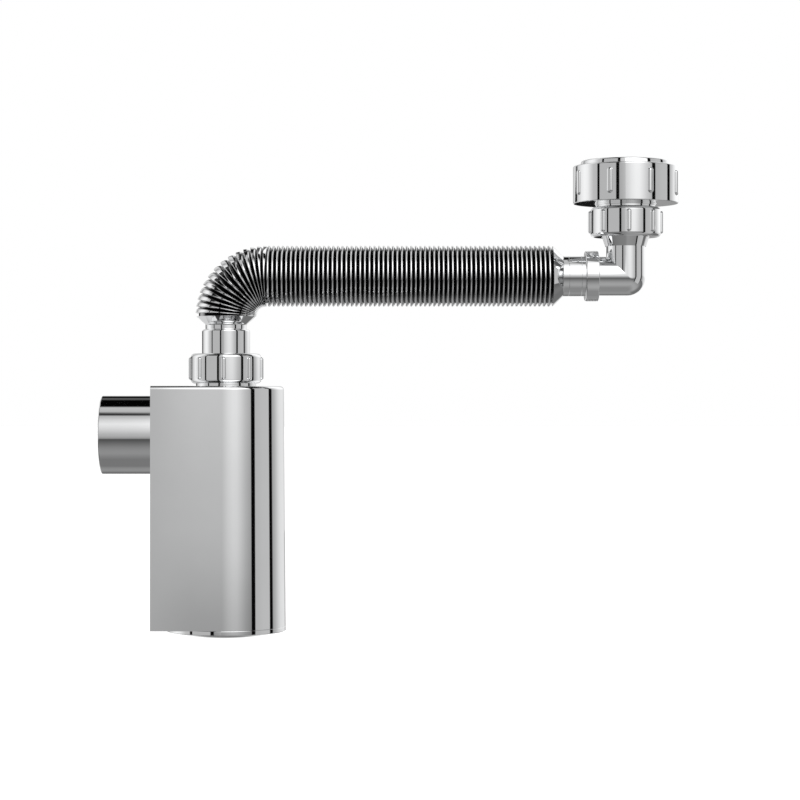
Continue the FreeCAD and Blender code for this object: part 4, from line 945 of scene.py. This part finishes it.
# The studio: what the chrome mirrors, the floor, the lamp and the camera.
studioLook = {
    "reflectivity": 0.88,
    # Brightness round the horizon: angle from the camera's side, positive to the right, and display value.
    "round": [
        (-180, 190), (-158, 212), (-148, 188), (-141, 142), (-134, 200), (-126, 216), (-116, 236),
        (-106, 244), (-96, 236), (-88, 212), (-80, 188), (-70, 180), (-69.4, 6), (-64.2, 6),
        (-63.6, 178), (-26, 178), (-25.4, 6), (-19.2, 6), (-18.6, 168), (-11, 179), (-6, 189), (0, 199),
        (8, 213), (17, 221), (25, 220), (33, 207), (42, 187), (50, 172), (53.6, 165), (54.2, 6),
        (62.0, 6), (62.6, 176), (80, 184), (97.6, 186), (98.2, 6), (106.6, 6), (107.2, 174), (113, 184),
        (120, 205), (127, 224), (135, 237), (146, 242), (158, 240), (180, 190),
    ],
    # The bright front wall, from one such angle to another, and the angle where the right wall starts.
    "front": (-18.9, 53.9), "rightWall": 106.9,
    # How much the walls gain with height: angle above the horizon and factor, which riseScale is the most of.
    "riseScale": 3.0,
    "rise": [
        (-10, 0.46), (-4.4, 0.6), (-3.3, 0.76), (-2.2, 0.87), (-1, 0.9), (0.5, 1.0), (5.6, 1.2),
        (8, 1.5), (13, 2.0), (19, 2.5), (25, 2.8), (40, 2.8), (50, 2.4), (58, 1.6), (66, 1.1), (72, 0.9),
        (90, 0.9),
    ],
    "riseLeft": [
        (-10, 0.56), (-5, 0.7), (-2.3, 0.82), (2, 0.87), (8, 1.03), (14, 1.2), (23, 1.43), (33, 1.62),
        (44, 1.4), (52, 1.14), (57, 1.04), (60, 0.3), (62.5, 0.02), (66, 0.2), (70, 0.9), (90, 1.0),
    ],
    "riseRight": [
        (-10, 0.8), (0.5, 0.84), (2.0, 1.0), (5.4, 1.14), (30, 1.2), (90, 1.2),
    ],
    # The band that passes overhead: angle from the camera's side over the top, and display value.
    "overhead": [
        (0, 240), (68, 235), (75, 180), (90, 186), (102, 190), (106, 120), (110, 20), (132, 14),
        (139, 120), (146, 205), (160, 232), (180, 200),
    ],
    "overheadLeft": [
        (0, 200), (66, 66), (70, 150), (73, 177), (78, 184), (89, 190), (92, 110), (95, 3), (124, 3),
        (129, 70), (136, 100), (140, 70), (145, 6), (156, 6), (162, 120), (180, 160),
    ],
    "overheadRight": [
        (0, 240), (68, 190), (75, 114), (82, 99), (90, 76), (98, 66), (107, 112), (117, 90), (128, 76),
        (142, 92), (152, 140), (165, 186), (180, 200),
    ],
    # Brightness below the horizon, in front and, for the left and the right, behind.
    "below": [
        (-90, 127), (-75, 126), (-66, 138), (-55, 152), (-47, 151), (-41, 146), (-35, 138), (-29, 126),
        (-23, 112), (-17, 96), (-13, 86), (-11, 104), (-8, 150),
    ],
    "belowBehind": [
        (-90, 128), (-51, 142), (-40, 124), (-30, 100), (-18, 116), (-13, 236), (0, 240),
    ],
    "belowLeftTone": 205, "belowRightTone": 108, "belowGain": 1.2,
    # The strip just under the back horizon, by the sideways part of the direction.
    "underNut": [
        (0, 236), (0.06, 236), (0.064, 22), (0.0865, 22), (0.092, 118), (0.105, 146), (0.125, 140),
        (0.3, 190),
    ],
    # The dark outline at the far left: its angle at 1 degree up, how fast it comes nearer with height, and
    # between which heights it shows.
    "outline": {
        "angle": -168.0, "lean": 6.1, "width": 24.6, "taper": 3.9, "shade": 20, "low": -2.0, "high": 7.0,
    },
    # How far down each side of the room goes: angle round the horizon, and angle below it.
    "skirting": [
        (-180, 9.5), (53.9, 9.5), (54.2, 33), (97.0, 33), (97.6, 14), (180, 14),
    ],
    "skirtingEdge": 40.0,
    # Which sides of the room end dark, high up and far down: angle and share.
    "panels": [
        (-180, 0.0), (-70, 0.0), (-69, 1.0), (-20, 1.0), (-19, 0.0), (53.5, 0.0), (54.5, 1.0), (106, 1.0),
        (107, 0.0), (180, 0.0),
    ],
    "panelTone": 8, "panelAside": 0.2, "steepTone": 60, "steepTowards": 0.15, "backAside": 0.3,
    "backHeight": -3.0,
    # Where one part gives way to the next: from and to, and the shades at both.
    "fades": {
        "farLeft": (0.449, 0.456, 1.0, 0.0), "leftHand": (0.468, 0.472, 1.0, 0.0),
        "rightHand": (0.074, 0.082, 0.0, 1.0), "narrow": (0.16, 0.22, 1.0, 0.0),
        "overhead": (66, 72, 0.0, 1.0), "tall": (28, 40, 0.0, 1.0), "steep": (45, 50, 0.0, 1.0),
        "deep": (46, 52, 0.0, 1.0), "nearHorizon": (80, 82, 0.0, 1.0), "behind": (0.25, 0.5, 0.0, 1.0),
        "belowLeft": (0.36, 0.4, 1.0, 0.0), "belowRight": (0.25, 0.36, 0.0, 1.0),
        "belowSlope": (0.445, 0.5425, 0.7, 0.93),
    },
}


def angleStops(points, low, high):
    return [((angle - low) / (high - low), value) for angle, value in points]


def toneStops(name, low, high):
    # Display values, raised by what the plating takes away.
    stops = angleStops(studioLook[name], low, high)
    return [(place, linear(value) / studioLook["reflectivity"]) for place, value in stops]


def turnShare(angle):
    return 0.5 + angle / 360


world = bpy.data.worlds.new("studio")
bpy.context.scene.world = world
graph = Graph(world)


def fade(value, name, span=1.0):
    # The value runs from 0 to 1, which stands for 0 to span.
    start, end, first, last = studioLook["fades"][name]
    return graph.ramp(value, [(0.0, first), (start / span, first), (end / span, last), (1.0, last)])


def riseRamp(value, name):
    # The factors by height as shares of the scale, because a ramp's shades end at 1.
    stops = angleStops(studioLook[name], -90, 90)
    return graph.ramp(value, [(place, factor / studioLook["riseScale"]) for place, factor in stops])


heading = graph.node("ShaderNodeTexCoord", output=0)
graph.node("ShaderNodeSeparateXYZ", {}, {0: heading})
split = graph.last
across, towards, upward = (Wire(graph, split.outputs[index]) for index in range(3))
azimuth = graph.maths("ARCTAN2", across, towards * -1.0) / fullTurn + 0.5
elevation = graph.maths("ARCSINE", upward) * (180 / math.pi)
over = graph.maths("ARCTAN2", upward, towards * -1.0) / math.pi
aside = graph.maths("ABSOLUTE", across)
sideShare = across * 0.5 + 0.5
heightShare = (elevation + 90.0) / 180.0
lowShare = (elevation + 90.0) / 90.0
climb = elevation / 90.0
drop = elevation / -90.0

# The walls round the horizon.
level = graph.splitRamp(azimuth, toneStops("round", -180, 180))
frontLeft, frontRight = studioLook["front"]
front = (azimuth > turnShare(frontLeft)) * (azimuth < turnShare(frontRight))
rise = graph.mixColour(
    fade(sideShare, "farLeft"), riseRamp(heightShare, "rise"), riseRamp(heightShare, "riseLeft"),
)
lift = (rise * studioLook["riseScale"] - 1.0) * front + 1.0
riseRight = riseRamp(heightShare, "riseRight")
liftRight = (riseRight * studioLook["riseScale"] - 1.0) * (azimuth > turnShare(studioLook["rightWall"])) + 1.0
outline = studioLook["outline"]
outlineGap = graph.maths(
    "ABSOLUTE", azimuth * 360.0 - 180.0 - outline["angle"] - (elevation - 1.0) * outline["lean"],
)
outlineHeight = (elevation > outline["low"]) * (elevation < outline["high"])
outlineShare = (outlineGap + elevation * outline["taper"] < outline["width"]) * outlineHeight
sides = graph.mixColour(outlineShare, level * lift * liftRight, grey(linear(outline["shade"])))
steepShare = fade(climb, "steep", 90) * (1.0 - front) * (towards < studioLook["steepTowards"])
sides = graph.mixColour(steepShare, sides, grey(linear(studioLook["steepTone"])))
panels = graph.splitRamp(azimuth, angleStops(studioLook["panels"], -180, 180))
panelTone = grey(linear(studioLook["panelTone"]))
sides = graph.mixColour(panels * fade(climb, "tall", 90), sides, panelTone)

# The band overhead.
overhead = graph.ramp(over, toneStops("overhead", 0, 180))
for name, hand, place in (("overheadLeft", "leftHand", sideShare), ("overheadRight", "rightHand", across)):
    side = graph.ramp(over, toneStops(name, 0, 180))
    overhead = graph.mixColour(fade(place, hand), overhead, side)
wall = graph.mixColour(fade(over, "overhead", 180) * fade(aside, "narrow"), sides, overhead)

# Below the horizon.
belowFront = graph.ramp(lowShare, toneStops("below", -90, 0))
belowFront = belowFront * (fade(sideShare, "belowSlope") * studioLook["belowGain"])
underNut = graph.ramp(across, toneStops("underNut", 0, 1))
belowBehind = graph.ramp(lowShare, toneStops("belowBehind", -90, 0))
belowBehind = graph.mixColour(fade(lowShare, "nearHorizon", 90), belowBehind, underNut)
for name, place in (("belowLeft", sideShare), ("belowRight", across)):
    tone = linear(studioLook[name + "Tone"]) / studioLook["reflectivity"]
    belowBehind = graph.mixColour(fade(place, name), belowBehind, grey(tone))
behind = fade(towards, "behind")
below = graph.mixColour(behind, belowFront, belowBehind)
deepShare = panels * fade(drop, "deep", 90) * (azimuth < 0.5) * (aside > studioLook["panelAside"])
below = graph.mixColour(deepShare, below, panelTone)
skirting = graph.splitRamp(azimuth, [
    (place, angle / 90) for place, angle in angleStops(studioLook["skirting"], -180, 180)
])
belowShare = graph.node("ShaderNodeClamp", {}, {0: (drop - skirting) * studioLook["skirtingEdge"] + 0.5})
belowShare = graph.mixColour(
    behind * (aside < studioLook["backAside"]), belowShare, elevation < studioLook["backHeight"],
)

# Only reflections see the studio; the camera and the soft light see white.
studio = graph.mixColour(belowShare, wall, below)
glossy = graph.node("ShaderNodeLightPath", output="Is Glossy Ray")
whiteLight = graph.node("ShaderNodeBackground", {}, {"Color": (1, 1, 1, 1), "Strength": 1.0})
studioLight = graph.node("ShaderNodeBackground", {}, {"Color": studio, "Strength": 1.0})
mixed = graph.node("ShaderNodeMixShader", {}, {0: glossy, 1: whiteLight, 2: studioLight})
graph.node("ShaderNodeOutputWorld", {}, {"Surface": mixed})

floorLook = {
    "drop": 0.45, "size": 40.0, "squares": 8, "glow": 0.28, "roughness": 0.8, "mottleScale": 3.0,
    "colour": (0.90, 0.90, 0.90, 1), "mottleColour": (0.88, 0.88, 0.88, 1),
}
floorMaterial = bpy.data.materials.new("paleFloor")
graph = Graph(floorMaterial)
floorPlace = graph.node("ShaderNodeTexCoord", output=3)
floorMottle = graph.noise(floorPlace, floorLook["mottleScale"])
floorSurface = graph.node("ShaderNodeBsdfPrincipled", {}, {
    "Base Color": graph.mixColour(floorMottle, floorLook["colour"], floorLook["mottleColour"]),
    "Roughness": floorLook["roughness"], "Emission Color": (1, 1, 1, 1),
    "Emission Strength": floorLook["glow"],
})
graph.node("ShaderNodeOutputMaterial", {}, {"Surface": floorSurface})
bm = bmesh.new()
bmesh.ops.create_grid(
    bm, x_segments=floorLook["squares"], y_segments=floorLook["squares"], size=floorLook["size"],
)
bmesh.ops.translate(bm, verts=bm.verts, vec=(0, 0, -floorLook["drop"]))
floorMesh = bpy.data.meshes.new("floor")
bm.to_mesh(floorMesh)
bm.free()
floor = addObject("floor", floorMesh)
floorMesh.materials.append(floorMaterial)
floor.visible_glossy = False

lampLook = {"place": (-0.6, -1.4, 1.8), "aim": (0.15, 0, 0), "size": 1.6, "watts": 14.0}
lampData = bpy.data.lights.new("softLamp", "AREA")
lampData.size = lampLook["size"]
lampData.energy = lampLook["watts"]
lamp = addObject("softLamp", lampData)
lamp.location = lampLook["place"]
lamp.rotation_euler = (Vector(lampLook["aim"]) - lamp.location).to_track_quat("-Z", "Y").to_euler()
lamp.visible_glossy = False

cameraLook = {"place": (0.1561, -1.536, 0.0224), "lens": 108.0, "sensor": 36.0}
cameraData = bpy.data.cameras.new("photoCamera")
cameraData.lens = cameraLook["lens"]
cameraData.sensor_width = cameraLook["sensor"]
cameraData.sensor_fit = "HORIZONTAL"
camera = addObject("photoCamera", cameraData)
camera.location = cameraLook["place"]
camera.rotation_euler = (math.pi / 2, 0, 0)
bpy.context.scene.camera = camera
bpy.context.scene.view_settings.view_transform = "Standard"
print("studio ready")
